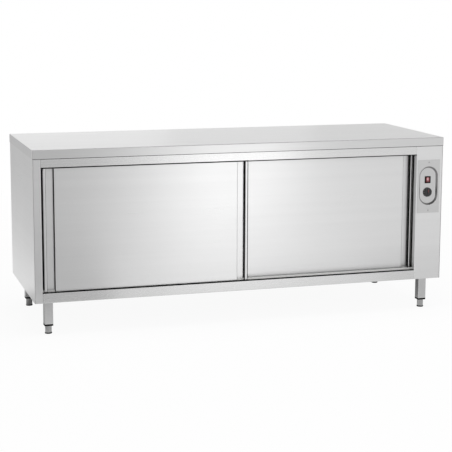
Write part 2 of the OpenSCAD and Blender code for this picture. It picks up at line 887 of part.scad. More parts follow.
// Thermostat knob: skirt, fluted hub and a raised pointer bar
module knob_outline() {
    difference() {
        circle(r = knob_hub_r);
        for (i = [0 : flute_n - 1]) rotate(360 * (i + 1 / 2) / flute_n)
            translate([knob_hub_r * flute_share, 0]) circle(r = flute_r);
    }
}
module thermostat_knob() {
    bar = knob_hub_r * pointer_share;
    base = dish_floor - knob_gap;
    color("black") translate([plate_x, base, knob_z]) rotate([90, 0, 0]) difference() {
        union() {
            cylinder(r1 = knob_r, r2 = knob_r - knob_gap, h = skirt_h);
            linear_extrude(knob_h - pointer_h) knob_outline();
            translate([-pointer_w / 2, -bar, 0]) cube([pointer_w, 2 * bar, knob_h]);
        }
        translate([0, 0, -cut]) cylinder(r = spindle_r + fit_gap, h = spindle_grip + cut);
    }
}

module thermostat_spindle() {
    tip = dish_floor - knob_gap - spindle_grip + seat_gap;
    color("gray") translate([plate_x, tip, knob_z]) rotate([-90, 0, 0])
        cylinder(r = spindle_r, h = spindle_grip + knob_gap + plate_t + bush_len);
}

// Thermostat body behind the dish, with its bush through the plate and a sensing head
module thermostat_body() {
    back = dish_floor + plate_t;
    color("dimgray") translate([plate_x, 0, knob_z]) difference() {
        union() {
            translate([0, back - plate_t, 0]) rotate([-90, 0, 0])
                cylinder(r = bush_r, h = plate_t + bush_r);
            along_y(back, back + stat_d) round_rect(stat_w, stat_h, flute_r);
            translate([0, back + stat_d, 0]) rotate([-90, 0, 0])
                cylinder(r = stat_neck_r, h = stat_neck_h);
        }
        translate([0, back - plate_t - cut, 0]) rotate([-90, 0, 0])
            cylinder(r = spindle_r + run_gap, h = plate_t + bush_len + seat_gap + 2 * cut);
    }
}

// Sensing bulb on the cabinet side of the right liner, with its capillary to the thermostat
bulb_lead = 70;
bulb_y = front_y + jamb_d + bulb_lead;
bulb_z = knob_z + bulb_z_off;
stat_back = dish_floor + plate_t + stat_d + stat_neck_h;
module thermostat_bulb() {
    bend = capillary_bend;
    reach_y = bulb_y - stat_back;
    bulb_x = wall_x - bulb_off;
    color("peru") {
        translate([plate_x, stat_back, knob_z]) rotate([-90, 0, 0])
            cylinder(r = capillary_r, h = reach_y - bend);
        translate([plate_x, bulb_y - bend, knob_z + bend]) rotate([90, 0, 90])
            rotate([0, 0, -90]) rotate_extrude(angle = 90) translate([bend, 0]) circle(r = capillary_r);
        translate([plate_x, bulb_y, knob_z + bend]) cylinder(r = capillary_r, h = bulb_z_off - 2 * bend);
        translate([plate_x - bend, bulb_y, bulb_z - bend]) rotate([90, 0, 0])
            rotate_extrude(angle = 90) translate([bend, 0]) circle(r = capillary_r);
        translate([bulb_x, bulb_y, bulb_z]) rotate([0, 90, 0])
            cylinder(r = capillary_r, h = plate_x - bend - bulb_x);
        translate([bulb_x, bulb_y - bulb_r, bulb_z]) rotate([-90, 0, 0])
            cylinder(r = bulb_r, h = bulb_len);
        translate([bulb_x, bulb_y + bulb_len / 2, bulb_z - bulb_r / 2])
            cube([bulb_off, bulb_clip_w, bulb_r]);
    }
}

// Ring element round the impeller: its ends turn back through the fan housing
element_x = fan_x + impeller_gap + blade_h / 2;
element_out = fan_x + fan_box_d - element_x;
module at_element_legs() {
    for (side = [-1, 1]) rotate([-side * element_gap_a, 0, 0])
        translate([0, side * element_bend, -element_ring_r]) children();
}
module heating_element() {
    color("saddlebrown") translate([element_x, fan_y, fan_z]) {
        rotate([0, 90, 0]) rotate(element_gap_a) rotate_extrude(angle = 360 - 2 * element_gap_a)
            translate([element_ring_r, 0]) circle(r = element_r);
        for (side = [-1, 1]) rotate([-side * element_gap_a, 0, 0])
            translate([element_bend, 0, -element_ring_r]) rotate(side > 0 ? 90 : 180)
            rotate_extrude(angle = 90) translate([element_bend, 0]) circle(r = element_r);
        at_element_legs() {
            translate([element_bend, 0, 0]) rotate([0, 90, 0])
                cylinder(r = element_r, h = element_out + element_leg - element_bend);
            translate([element_out, 0, 0]) rotate([0, 90, 0]) cylinder(r = element_nut_r, h = element_nut_h);
        }
    }
}

// Fan housing: pressed box with a flange on the back of the right liner
module fan_housing() {
    half = fan_box_w / 2;
    wide = half + fan_flange;
    color("lightgray") translate([fan_x, fan_y, fan_z]) difference() {
        union() {
            slab([0, -wide, -wide], [sheet_t, wide, wide]);
            slab([0, -half, -half], [fan_box_d, half, half]);
        }
        slab([-cut, sheet_t - half, sheet_t - half], [fan_box_d - sheet_t, half - sheet_t, half - sheet_t]);
        translate([fan_box_d - sheet_t - cut, 0, 0]) rotate([0, 90, 0])
            cylinder(r = shaft_r + seat_gap, h = sheet_t + 2 * cut);
        at_element_legs() rotate([0, 90, 0]) cylinder(r = element_r + fit_gap, h = fan_box_d + cut);
    }
}

// Shaded-pole motor on four feet behind the housing
motor_x = fan_x + fan_box_d + motor_stand;
module fan_motor() {
    color("gray") translate([motor_x, fan_y, fan_z]) difference() {
        union() {
            rotate([90, 0, 90]) linear_extrude(motor_d) round_rect(motor_w, motor_h, motor_foot_r);
            rotate([0, 90, 0]) cylinder(r = motor_cap_r, h = motor_d + motor_cap_h);
            for (i = [0 : 3]) rotate([90 * i + 45, 0, 0])
                translate([-motor_stand, motor_foot_share * (motor_w + motor_h) / 2, 0]) rotate([0, 90, 0])
                cylinder(r = motor_foot_r, h = motor_stand + motor_d / 2);
        }
        translate([-cut, 0, 0]) rotate([0, 90, 0])
            cylinder(r = shaft_r + run_gap, h = motor_d + shaft_gap + cut);
    }
}

// Radial impeller: hub, back plate, curved blades and a front ring
module impeller_blades() {
    root = impeller_r * blade_root_share;
    intersection() {
        difference() {
            circle(r = impeller_r);
            circle(r = root);
        }
        for (i = [0 : blade_n - 1]) rotate(360 * i / blade_n)
            translate([(impeller_r + root) / 2, blade_r]) difference() {
                circle(r = blade_r + blade_t);
                circle(r = blade_r);
                translate([-2 * blade_r, -blade_r / 2]) square(4 * blade_r);
            }
    }
}
module fan_impeller() {
    front = fan_x + impeller_gap;
    color("lightsteelblue") translate([front, fan_y, fan_z]) rotate([90, 0, 90]) difference() {
        union() {
            linear_extrude(blade_h) impeller_blades();
            translate([0, 0, blade_h - plate_back_t]) cylinder(r = impeller_r, h = plate_back_t);
            linear_extrude(plate_back_t) difference() {
                circle(r = impeller_r);
                circle(r = impeller_r * blade_root_share);
            }
            translate([0, 0, blade_h - hub_len]) cylinder(r = hub_r, h = hub_len);
        }
        translate([0, 0, -cut]) cylinder(r = shaft_r + fit_gap, h = blade_h + 2 * cut);
    }
}
module fan_shaft() {
    start = fan_x + impeller_gap + blade_h - hub_len;
    stop = motor_x + motor_d + shaft_gap - seat_gap;
    color("gray") translate([start, fan_y, fan_z]) rotate([0, 90, 0])
        cylinder(r = shaft_r, h = stop - start);
}

// Terminal block on the base of the heater compartment
module terminal_block() {
    pitch = block_w / block_pole_n;
    color("ivory") translate([leg_x, block_y_share * worktop_d, pan_z + sheet_t]) difference() {
        translate([-block_w / 2, -block_d / 2, 0]) cube([block_w, block_d, block_h]);
        for (i = [0 : block_pole_n - 1], side = [-1, 1])
            translate([(i + 1 / 2) * pitch - block_w / 2, side * block_d / 4, block_h / 2])
            cylinder(r = block_hole_r, h = block_h);
    }
}

// Cable gland under the base pan: nut inside, hexagon and domed cap outside, with a through bore
module cable_gland() {
    color("dimgray") translate([leg_x, gland_y, pan_z]) difference() {
        union() {
            translate([0, 0, -gland_hex_h]) cylinder(r = gland_hex_r, h = gland_hex_h, $fn = hex_sides);
            translate([0, 0, -gland_hex_h - gland_cap_h])
                cylinder(r1 = gland_cap_r * gland_cap_top_share, r2 = gland_cap_r, h = gland_cap_h);
            cylinder(r = gland_thread_r, h = sheet_t + gland_thread_h);
            translate([0, 0, sheet_t]) cylinder(r = gland_hex_r, h = gland_nut_h, $fn = hex_sides);
        }
        translate([0, 0, -gland_hex_h - gland_cap_h - cut])
            cylinder(r = gland_bore_r, h = gland_hex_h + gland_cap_h + sheet_t + gland_thread_h + 2 * cut);
    }
}

// Places one child on each leg's axis
module at_legs() {
    for (x = [-1, 1], y = [-1, 1]) translate([x * leg_x, y * leg_y, 0]) children();
}

// Legs: square tube through the base pan with a plate welded on top
module legs() {
    color("silver") at_legs() {
        along_z(leg_z, pan_z + sheet_t) difference() {
            round_rect(leg_w, leg_w, leg_t * 2);
            round_rect(leg_w - 2 * leg_t, leg_w - 2 * leg_t, leg_t);
        }
        translate([0, 0, pan_z + sheet_t]) linear_extrude(leg_plate_t) difference() {
            square(leg_plate_w, center = true);
            circle(r = stud_r * 2);
        }
    }
}

// Threaded plastic inserts that close the leg tubes
module leg_inserts() {
    plug = leg_w - 2 * leg_t - 2 * fit_gap;
    color("black") at_legs() difference() {
        union() {
            along_z(leg_z - insert_flange_t, leg_z) round_rect(leg_w, leg_w, leg_t * 2);
            along_z(leg_z, leg_z + insert_plug_h) round_rect(plug, plug, insert_r);
        }
        translate([0, 0, leg_z - insert_flange_t - cut])
            cylinder(r = stud_r + run_gap, h = insert_flange_t + insert_plug_h + 2 * cut);
    }
}

// Adjustable foot: flared base, plain sleeve and a stud up into the insert
module foot(x, y) {
    color("lightgray") translate([x * leg_x, y * leg_y, 0]) {
        rotate_extrude() polygon([[0, 0], [base_r - foot_edge, 0], [base_r, foot_edge],
            [base_r, base_flare_h - base_flare], [foot_r, base_flare_h],
            [foot_r, foot_h - foot_edge], [foot_r - foot_edge, foot_h], [0, foot_h]]);
        translate([0, 0, foot_h]) cylinder(r = stud_r, h = stud_len);
    }
}
module foot_front_left() { foot(-1, -1); }
module foot_front_right() { foot(1, -1); }
module foot_back_left() { foot(-1, 1); }
module foot_back_right() { foot(1, 1); }

// Door pieces, drawn with the door's lower left front corner at the origin.
// Slot that clears the guide's fin along the foot of a door
module fin_notch() {
    slab([-cut, (door_t - shoe_slot) / 2, -cut], [door_w + cut, (door_t + shoe_slot) / 2, shoe_slot_h]);
}

// Outer skin: front face between the grips, with walls down into them and a head and foot fold
module door_skin() {
    half = door_sheet_t / 2;
    left = grip_w + half;
    right = door_w - grip_w - half;
    difference() {
        along_z(0, door_h)
            fold([[left, grip_d], [left, half], [right, half], [right, grip_d]], door_sheet_t, bend_r);
        fin_notch();
    }
    slab([grip_w + door_sheet_t, half, door_h - door_sheet_t],
        [door_w - grip_w - door_sheet_t, skin_head, door_h]);
    slab([grip_w + door_sheet_t, half, 0], [door_w - grip_w - door_sheet_t, skin_foot, door_sheet_t]);
}

// Inner skin: flat back with head and foot folds between the grips
module door_back() {
    half = door_sheet_t / 2;
    x0 = grip_w + grip_flange + core_gap;
    slab([0, door_t - door_sheet_t, 0], [door_w, door_t, door_h]);
    slab([x0, door_t - back_fold, door_h - 2 * door_sheet_t],
        [door_w - x0, door_t - half, door_h - door_sheet_t]);
    slab([x0, door_t - skin_foot, 0], [door_w - x0, door_t - half, door_sheet_t]);
}

// Grip channel: floor behind the skin, wall, round bead and return, plugged at both ends
module door_grip() {
    t = door_sheet_t;
    half = t / 2;
    inner = grip_bead - half;
    deep = grip_d + half;
    plug_z = [0, door_h - bead_plug_h];
    difference() {
        intersection() {
            union() {
                along_z(0, door_h)
                    fold([[grip_w + grip_flange, deep], [inner, deep], [inner, half], [half, half],
                        [half, door_t - t]], t, bead_r);
                for (z = plug_z) translate([half, t, z])
                    cube([inner - half, grip_d - t, bead_plug_h]);
            }
            translate([door_w / 2, 0, door_h / 2]) along_y(0, door_t)
                round_rect(door_w, door_h, bead_corner_r);
        }
        fin_notch();
    }
}
module door_grips() {
    door_grip();
    translate([door_w, 0, 0]) mirror([1, 0, 0]) door_grip();
}

// Insulating core
module door_core() {
    x0 = grip_w + grip_flange + core_gap;
    y0 = door_sheet_t;
    y1 = door_t - door_sheet_t;
    slab([x0, y0, shoe_h + core_gap], [door_w - x0, y1, door_h - 2 * door_sheet_t - core_gap]);
}

hanger_x = [hanger_inset, door_w - hanger_inset];
axle_up = axle_z - door_z;

// Hangers: angle on the door's head with the roller axle
module door_hangers() {
    head = roller_mid - roller_w / 2 - seat_gap;
    foot = door_h + hanger_t / 2;
    for (x = hanger_x) translate([x, 0, 0]) {
        along_x(-hanger_w / 2, hanger_w / 2)
            fold([[hanger_foot, foot], [hanger_mid, foot], [hanger_mid, axle_up + hanger_rise]],
                hanger_t, bend_r);
        translate([0, head, axle_up]) rotate([-90, 0, 0])
            cylinder(r = axle_r, h = hanger_mid - head);
        translate([0, head, axle_up]) rotate([90, 0, 0]) cylinder(r = bolt_head_r, h = bolt_head_h);
        translate([0, roller_mid + roller_w / 2 + seat_gap, axle_up]) rotate([-90, 0, 0])
            cylinder(r = bolt_head_r, h = hanger_mid - roller_mid - roller_w / 2 - seat_gap);
    }
}

// Guide shoes: slotted blocks that straddle the fin
module door_shoes() {
    mid = door_t / 2;
    for (x = [grip_w + shoe_inset, door_w - grip_w - shoe_inset])
        along_x(x - shoe_len / 2, x + shoe_len / 2) difference() {
            union() {
                translate([mid - shoe_w / 2, door_sheet_t]) square([shoe_w, shoe_flange_h]);
                translate([mid - shoe_neck / 2, 0]) square([shoe_neck, shoe_h]);
            }
            translate([mid - shoe_slot / 2, -cut]) square([shoe_slot, shoe_slot_h + cut]);
        }
}

// Grooved roller
module door_roller(x) {
    half = roller_w / 2;
    groove = groove_w / 2;
    bore = axle_r + run_gap;
    rim = roller_flange_r;
    translate([x, roller_mid, axle_up]) rotate([90, 0, 0]) rotate_extrude()
        polygon([[bore, -half], [rim, -half], [rim, -groove - (rim - roller_r) / 4], [roller_r, -groove],
            [roller_r, groove], [rim, groove + (rim - roller_r) / 4], [rim, half], [bore, half]]);
}

module front_door_skin() { color("silver") translate(front_door_at) door_skin(); }
module front_door_back() { color("lightgray") translate(front_door_at) door_back(); }
module front_door_grips() { color("silver") translate(front_door_at) door_grips(); }
module front_door_core() { color("khaki") translate(front_door_at) door_core(); }
module front_door_hangers() { color("gray") translate(front_door_at) door_hangers(); }
module front_door_shoes() { color("white") translate(front_door_at) door_shoes(); }
module front_door_roller_left() { color("white") translate(front_door_at) door_roller(hanger_x[0]); }
module front_door_roller_right() { color("white") translate(front_door_at) door_roller(hanger_x[1]); }
module rear_door_skin() { color("silver") translate(rear_door_at) door_skin(); }
module rear_door_back() { color("lightgray") translate(rear_door_at) door_back(); }
module rear_door_grips() { color("silver") translate(rear_door_at) door_grips(); }
module rear_door_core() { color("khaki") translate(rear_door_at) door_core(); }
module rear_door_hangers() { color("gray") translate(rear_door_at) door_hangers(); }
module rear_door_shoes() { color("white") translate(rear_door_at) door_shoes(); }
module rear_door_roller_left() { color("white") translate(rear_door_at) door_roller(hanger_x[0]); }
module rear_door_roller_right() { color("white") translate(rear_door_at) door_roller(hanger_x[1]); }

worktop();
worktop_stiffeners();
left_panel();
right_panel();
back_panel();
base_pan();
left_stile();
control_pillar();
top_rail();
bottom_rail();
left_liner();
right_liner();
back_liner();
floor_liner();
ceiling_liner();
insulation_slabs();
door_track();
door_guide();
shelf();
shelf_uprights();
shelf_brackets();
control_plate();
plate_screws();
switch_housing();
switch_rocker();
thermostat_knob();
thermostat_spindle();
thermostat_body();
thermostat_bulb();
heating_element();
fan_housing();
fan_motor();
fan_impeller();
fan_shaft();
terminal_block();
cable_gland();
legs();
leg_inserts();
foot_front_left();
foot_front_right();
foot_back_left();
foot_back_right();
front_door_skin();
front_door_back();
front_door_grips();
front_door_core();
front_door_hangers();
front_door_shoes();
front_door_roller_left();
front_door_roller_right();
rear_door_skin();
rear_door_back();
rear_door_grips();
rear_door_core();
rear_door_hangers();
rear_door_shoes();
rear_door_roller_left();
rear_door_roller_right();
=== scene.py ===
# %% [markdown]
# # A stainless hot cupboard, dressed for a studio picture
# The cupboard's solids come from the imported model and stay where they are. This lesson gives
# them their finishes, makes the small pieces that are finer than the solids, and lights the
# whole as a catalogue picture. Each step says what the real piece is before it is made.

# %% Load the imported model
import json
from math import cos, pi, radians, sin

import bmesh
import bpy
from mathutils import Matrix, Vector, noise


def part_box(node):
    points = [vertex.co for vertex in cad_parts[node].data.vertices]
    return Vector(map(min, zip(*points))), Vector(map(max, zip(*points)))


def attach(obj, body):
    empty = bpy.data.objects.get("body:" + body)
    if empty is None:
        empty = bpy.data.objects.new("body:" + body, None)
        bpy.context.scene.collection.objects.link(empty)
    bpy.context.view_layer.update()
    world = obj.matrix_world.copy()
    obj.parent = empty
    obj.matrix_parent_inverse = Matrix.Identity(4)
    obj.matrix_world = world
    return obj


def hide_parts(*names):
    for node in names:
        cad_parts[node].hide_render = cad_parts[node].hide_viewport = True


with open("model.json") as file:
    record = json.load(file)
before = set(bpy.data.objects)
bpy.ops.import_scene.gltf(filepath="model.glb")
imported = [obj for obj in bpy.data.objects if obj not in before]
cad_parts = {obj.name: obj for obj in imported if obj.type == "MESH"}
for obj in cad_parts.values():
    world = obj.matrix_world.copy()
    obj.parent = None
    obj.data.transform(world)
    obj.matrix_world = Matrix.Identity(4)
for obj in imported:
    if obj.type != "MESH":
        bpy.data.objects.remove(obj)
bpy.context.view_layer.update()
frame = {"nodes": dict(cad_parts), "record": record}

scene = bpy.context.scene
scene.view_settings.view_transform = "Standard"
nodes = frame["nodes"]

# %% [markdown]
# ## Camera
# The picture was taken from the left, a little above the worktop, with a long lens. The place and
# the turn were found by matching the cupboard's corners. A small shift of the frame, as on a view
# camera, sets the cupboard at its height in the picture.

# %% Camera
EYE = Vector((-1.896, -6.144, 1.557))
YAW, PITCH, ROLL = radians(17.19), radians(9.06), radians(0.21)
LENS, SHIFT = 105.62, -0.0575
ahead = Vector((sin(YAW) * cos(PITCH), cos(YAW) * cos(PITCH), -sin(PITCH)))
level = Vector((cos(YAW), -sin(YAW), 0.0))
above = level.cross(ahead)
right = level * cos(ROLL) + above * sin(ROLL)
top = above * cos(ROLL) - level * sin(ROLL)

camera = bpy.data.objects.new("camera", bpy.data.cameras.new("camera"))
camera.data.sensor_fit = "HORIZONTAL"
camera.data.lens = LENS
camera.data.shift_y = SHIFT
camera.matrix_world = Matrix.Translation(EYE) @ Matrix((right, top, -ahead)).transposed().to_4x4()
scene.collection.objects.link(camera)
scene.camera = camera
print("camera", LENS, "mm lens at", tuple(round(v, 3) for v in EYE))

# %% [markdown]
# ## Laying out nodes
# Materials, the world and the geometry trees are all nodes. One helper adds a node, fills in its
# inputs and links any input that is given another node's output. The others do a sum, mix two
# colours and stretch a value to a range, because nearly every finish needs them.

# %% Helpers for nodes
SHARE, FIRST, SECOND, MIXED = 0, 6, 7, 2  # the Mix node's sockets for colours


def add_node(tree, kind, inputs=None, **settings):
    node = tree.nodes.new(kind)
    for key, value in settings.items():
        setattr(node, key, value)
    for key, value in (inputs or {}).items():
        if isinstance(value, bpy.types.NodeSocket):
            tree.links.new(value, node.inputs[key])
        else:
            node.inputs[key].default_value = value
    return node


def formula(tree, operation, *values):
    return add_node(tree, "ShaderNodeMath", dict(enumerate(values)), operation=operation).outputs[0]


def mix_colour(tree, share, first, second):
    colours = {FIRST: first, SECOND: second}
    for key, value in colours.items():
        if isinstance(value, tuple):
            colours[key] = (*value, 1.0)
    return add_node(tree, "ShaderNodeMix", {SHARE: share, **colours}, data_type="RGBA").outputs[MIXED]


def stretch(tree, value, span, onto):
    limits = {"From Min": span[0], "From Max": span[1], "To Min": onto[0], "To Max": onto[1]}
    return add_node(tree, "ShaderNodeMapRange", {"Value": value, **limits}).outputs["Result"]


print("helpers for nodes ready")

# %% [markdown]
# ## White surround
# A catalogue picture has a pure white surround. Turning the lamps up would burn the steel out, so
# the world is white only for rays that come from the camera, from a gloss or through glass, and
# lights everything else at a plain level.

# %% World
WHITE = (1.0, 1.0, 1.0, 1.0)
SKY_LIGHT = 0.55


def seen_directly(tree):
    path = add_node(tree, "ShaderNodeLightPath")
    seen = path.outputs["Is Camera Ray"]
    for way in ("Is Glossy Ray", "Is Transmission Ray"):
        seen = formula(tree, "MAXIMUM", seen, path.outputs[way])
    return seen


world = bpy.data.worlds.new("studio")
world.use_nodes = True
scene.world = world
tree = world.node_tree
surround = tree.nodes["Background"]
surround.inputs["Color"].default_value = WHITE
strength = stretch(tree, seen_directly(tree), (0, 1), (SKY_LIGHT, 1.0))
tree.links.new(strength, surround.inputs["Strength"])
print("world lights at", SKY_LIGHT)

# %% [markdown]
# ## Floor
# The floor is a plain pale sheet. It is part diffuse, so that the cupboard's shadow stays under
# it, and part glowing for the same rays as the world. Further out it only glows, so that it runs
# into the surround.

# %% Floor
FLOOR_HALF = 30.0
FLOOR_GLOW = 0.93
FLOOR_COLOUR = (0.9, 0.9, 0.9, 1.0)
FADE = (1.2, 4.0)


def flat_card(name, corners):
    mesh = bpy.data.meshes.new(name)
    mesh.from_pydata(corners, [], [tuple(range(len(corners)))])
    card = bpy.data.objects.new(name, mesh)
    scene.collection.objects.link(card)
    return card


def new_material(name):
    material = bpy.data.materials.new(name)
    material.use_nodes = True
    return material, material.node_tree, material.node_tree.nodes["Principled BSDF"]


floor = flat_card("floor", [(-FLOOR_HALF, -FLOOR_HALF, 0), (FLOOR_HALF, -FLOOR_HALF, 0),
                            (FLOOR_HALF, FLOOR_HALF, 0), (-FLOOR_HALF, FLOOR_HALF, 0)])
pale, tree, shader = new_material("pale_floor")
tree.nodes.remove(shader)
matt = add_node(tree, "ShaderNodeBsdfDiffuse", {"Color": FLOOR_COLOUR})
glow = add_node(tree, "ShaderNodeEmission", {"Color": WHITE})
spot = add_node(tree, "ShaderNodeTexCoord").outputs["Object"]
away = add_node(tree, "ShaderNodeVectorMath", {0: spot}, operation="LENGTH").outputs["Value"]
share = formula(tree, "MULTIPLY", seen_directly(tree), stretch(tree, away, FADE, (FLOOR_GLOW, 1.0)))
blend = add_node(tree, "ShaderNodeMixShader", {0: share, 1: matt.outputs[0], 2: glow.outputs[0]})
tree.links.new(blend.outputs[0], tree.nodes["Material Output"].inputs["Surface"])
floor.data.materials.append(pale)
print("floor", 2 * FLOOR_HALF, "m square")

# %% [markdown]
# ## Softboxes and cards
# Brushed steel shows what stands round it. A low softbox in front on the right makes the bright
# upright band in the middle of the front, and a wide one overhead lights the worktop. Grey and
# bright cards, out of the picture, give the steel its other tones: those that stand shade the
# front and the worktop, and those that lie on the floor shade the doors, the legs and the left
# side. A dark one hangs overhead. Only glossy rays see the cards, so they light nothing else and
# throw no shadow.


# %% Softboxes
def softbox(name, place, target, size, watts, glints=True):
    lamp = bpy.data.lights.new(name, "AREA")
    lamp.shape = "RECTANGLE"
    lamp.size, lamp.size_y = size
    lamp.energy = watts
    stand = bpy.data.objects.new(name, lamp)
    stand.location = place
    stand.rotation_euler = (Vector(target) - Vector(place)).to_track_quat("-Z", "Y").to_euler()
    stand.visible_camera = False
    stand.visible_glossy = glints
    scene.collection.objects.link(stand)
    print(name, watts, "W")


softbox("strip_softbox", (0.88, -3.4, 0.55), (-0.1, -0.35, 0.4), (0.9, 1.1), 3.1)
softbox("top_softbox", (0.2, -0.6, 3.6), (0.0, 0.0, 0.5), (3.2, 2.4), 70.0, glints=False)

# %% Cards
CARD_LOW = 0.002


def standing(start, end, height):
    return [(*start, 0.0), (*end, 0.0), (*end, height), (*start, height)]


def lying(near, far, height=CARD_LOW):
    return [(*near, height), (far[0], near[1], height), (*far, height), (near[0], far[1], height)]


CARDS = {
    "dark_card": (standing((-4.6, -3.2), (-1.25, -3.2), 1.8), 0.38),
    "front_card": (standing((-0.70, -3.2), (-0.04, -3.2), 1.8), 0.66),
    "back_left_card": (standing((-3.4, 4.5), (-0.7, 4.5), 3.0), 0.63),
    "back_middle_card": (standing((0.9, 4.5), (2.2, 4.5), 3.0), 0.86),
    "back_right_card": (standing((2.2, 4.5), (5.5, 4.5), 3.0), 0.72),
    "left_floor_card": (lying((-2.6, -2.0), (-0.5, -1.35)), 0.75),
    "left_near_card": (lying((-2.6, -1.35), (-0.5, -0.95)), 0.28),
    "left_foot_card": (lying((-2.6, -0.95), (-0.5, -0.45)), 0.84),
    "middle_floor_card": (lying((-0.15, -2.8), (0.42, -1.2)), 1.26),
    "right_floor_card": (lying((0.42, -5.0), (1.60, -1.35)), 1.15),
    "far_right_card": (lying((1.60, -5.0), (3.0, -1.35)), 1.04),
    "right_near_card": (lying((0.9, -1.35), (2.6, -0.45)), 0.78),
    "dark_floor_card": (lying((-2.6, -3.2), (-0.95, -2.0)), 0.30),
    "front_floor_card": (lying((-0.95, -3.2), (-0.6, -2.0)), 0.45),
    "back_floor_card": (lying((-2.6, 1.0), (-1.42, 4.5)), 0.63),
    "side_floor_card": (lying((-1.42, 1.0), (-1.28, 4.5)), 0.84),
    "side_edge_card": (lying((-1.28, 1.0), (-1.20, 4.5)), 0.95),
    "left_side_card": (lying((-2.2, -0.45), (-1.02, 0.55)), 0.52),
    "under_card": (lying((-1.0, -0.2), (0.85, 1.2)), 0.20),
    "ceiling_card": (lying((-3.0, -1.2), (4.5, 0.7), 3.2), 0.05)}
for name, (corners, grey) in CARDS.items():
    card = flat_card(name, corners)
    even, tree, shader = new_material(name)
    tree.nodes.remove(shader)
    glow = add_node(tree, "ShaderNodeEmission", {"Color": (grey, grey, grey, 1)})
    tree.links.new(glow.outputs[0], tree.nodes["Material Output"].inputs["Surface"])
    card.data.materials.append(even)
    for ray in ("camera", "diffuse", "shadow", "transmission"):
        setattr(card, "visible_" + ray, False)
print(len(CARDS), "cards")

# %% [markdown]
# ## Edges
# Sheet edges and moulded corners are never quite sharp. The Bevel node turns the normal near an
# edge, which gives the thin bright line that a real edge has. Where the turned normal differs
# from the flat one there is an edge, and that is also where a finish wears first. Bevels could be
# cut into the meshes instead, but the solids stay as they are, so the shader does it.

# %% Soft edges and wear
EDGE = 0.0004
EDGE_SAMPLES = 4
EDGE_TURN = (0.995, 0.85)


def soft_edges(tree, radius=EDGE):
    soft = add_node(tree, "ShaderNodeBevel", {"Radius": radius}, samples=EDGE_SAMPLES).outputs["Normal"]
    flat = add_node(tree, "ShaderNodeNewGeometry").outputs["Normal"]
    same = add_node(tree, "ShaderNodeVectorMath", {0: soft, 1: flat}, operation="DOT_PRODUCT")
    return soft, stretch(tree, same.outputs["Value"], EDGE_TURN, (0.0, 1.0))


print("edges rounded over", EDGE, "m")

# %% [markdown]
# ## Noise, bump and tone
# Every finish starts from a noise on the piece's own coordinates. Most of a noise lies between 0.3
# and 0.7, so that span is stretched to the range that a finish needs. The same noise raises the
# surface through a bump, and a colour is made paler or darker by one factor.

# %% Helpers for finishes
MOST = (0.3, 0.7)
WHOLE = (0.0, 1.0)


def object_place(tree, scale=(1.0, 1.0, 1.0)):
    place = add_node(tree, "ShaderNodeTexCoord").outputs["Object"]
    return add_node(tree, "ShaderNodeMapping", {"Vector": place, "Scale": scale}).outputs["Vector"]


def speckle(tree, place, scale, detail=3.0, rough=0.6):
    return add_node(tree, "ShaderNodeTexNoise", {"Vector": place, "Scale": scale, "Detail": detail,
                                                 "Roughness": rough}).outputs["Fac"]


def raised(tree, height, normal, depth):
    return add_node(tree, "ShaderNodeBump", {"Height": height, "Normal": normal,
                                             "Distance": depth}).outputs["Normal"]


def tone(colour, factor):
    return tuple(min(1.0, factor * part) for part in colour)


def around(value, less, more):
    return value - less, value + more


def fill(shader, **values):
    for key, value in values.items():
        socket = shader.inputs[key.replace("_", " ").title().replace("Ior", "IOR")]
        if isinstance(value, bpy.types.NodeSocket):
            shader.id_data.links.new(value, socket)
        else:
            socket.default_value = (*value, 1.0) if isinstance(value, tuple) else value


print("helpers for finishes ready")

# %% [markdown]
# ## Brushed stainless steel
# The skins are stainless sheet, brushed along their length. Under a lens that is thousands of fine
# parallel scratches, and from a distance a highlight that is drawn out across them. A noise that is
# stretched along the grain gives the scratches, a second, wider one the faint streaks of the belt,
# and the shader's own anisotropy draws the highlight. The tangent is the cross product of the
# surface's normal with the grain, so every face of a folded sheet gets its own direction. The grain
# is tilted a little, so that the product doesn't vanish on a face that looks along it. On two
# sheets light and shade are painted into the tone by the way that a face looks: the worktop's upper
# face is painted brighter than its edge, and the sloping walls of the control plate's dish are
# painted darker than the plate. A picture of brushed steel could be laid on instead, but it would
# repeat, and a noise doesn't.

# %% Brushed steel
SCRATCH_SCALE, STREAK_SCALE, CLOUD_SCALE = (1.5, 700.0), (0.35, 26.0), 2.3
STREAK_TONES, SCRATCH_TONE, RUBBED_TONE = (0.98, 1.015), 0.86, 1.12
SCRATCH_SPAN, SCRATCH_SHARE = (0.62, 0.8), (0.0, 0.35)
SCRATCH_DEPTH = 0.00002
CLOUD_GLOSS = (-0.012, 0.02)
DRAWN_OUT = 0.7
LEVEL_TILT, UPRIGHT_TILT = Vector((0.0, 0.02, 0.0)), Vector((0.02, 0.013, 0.0))


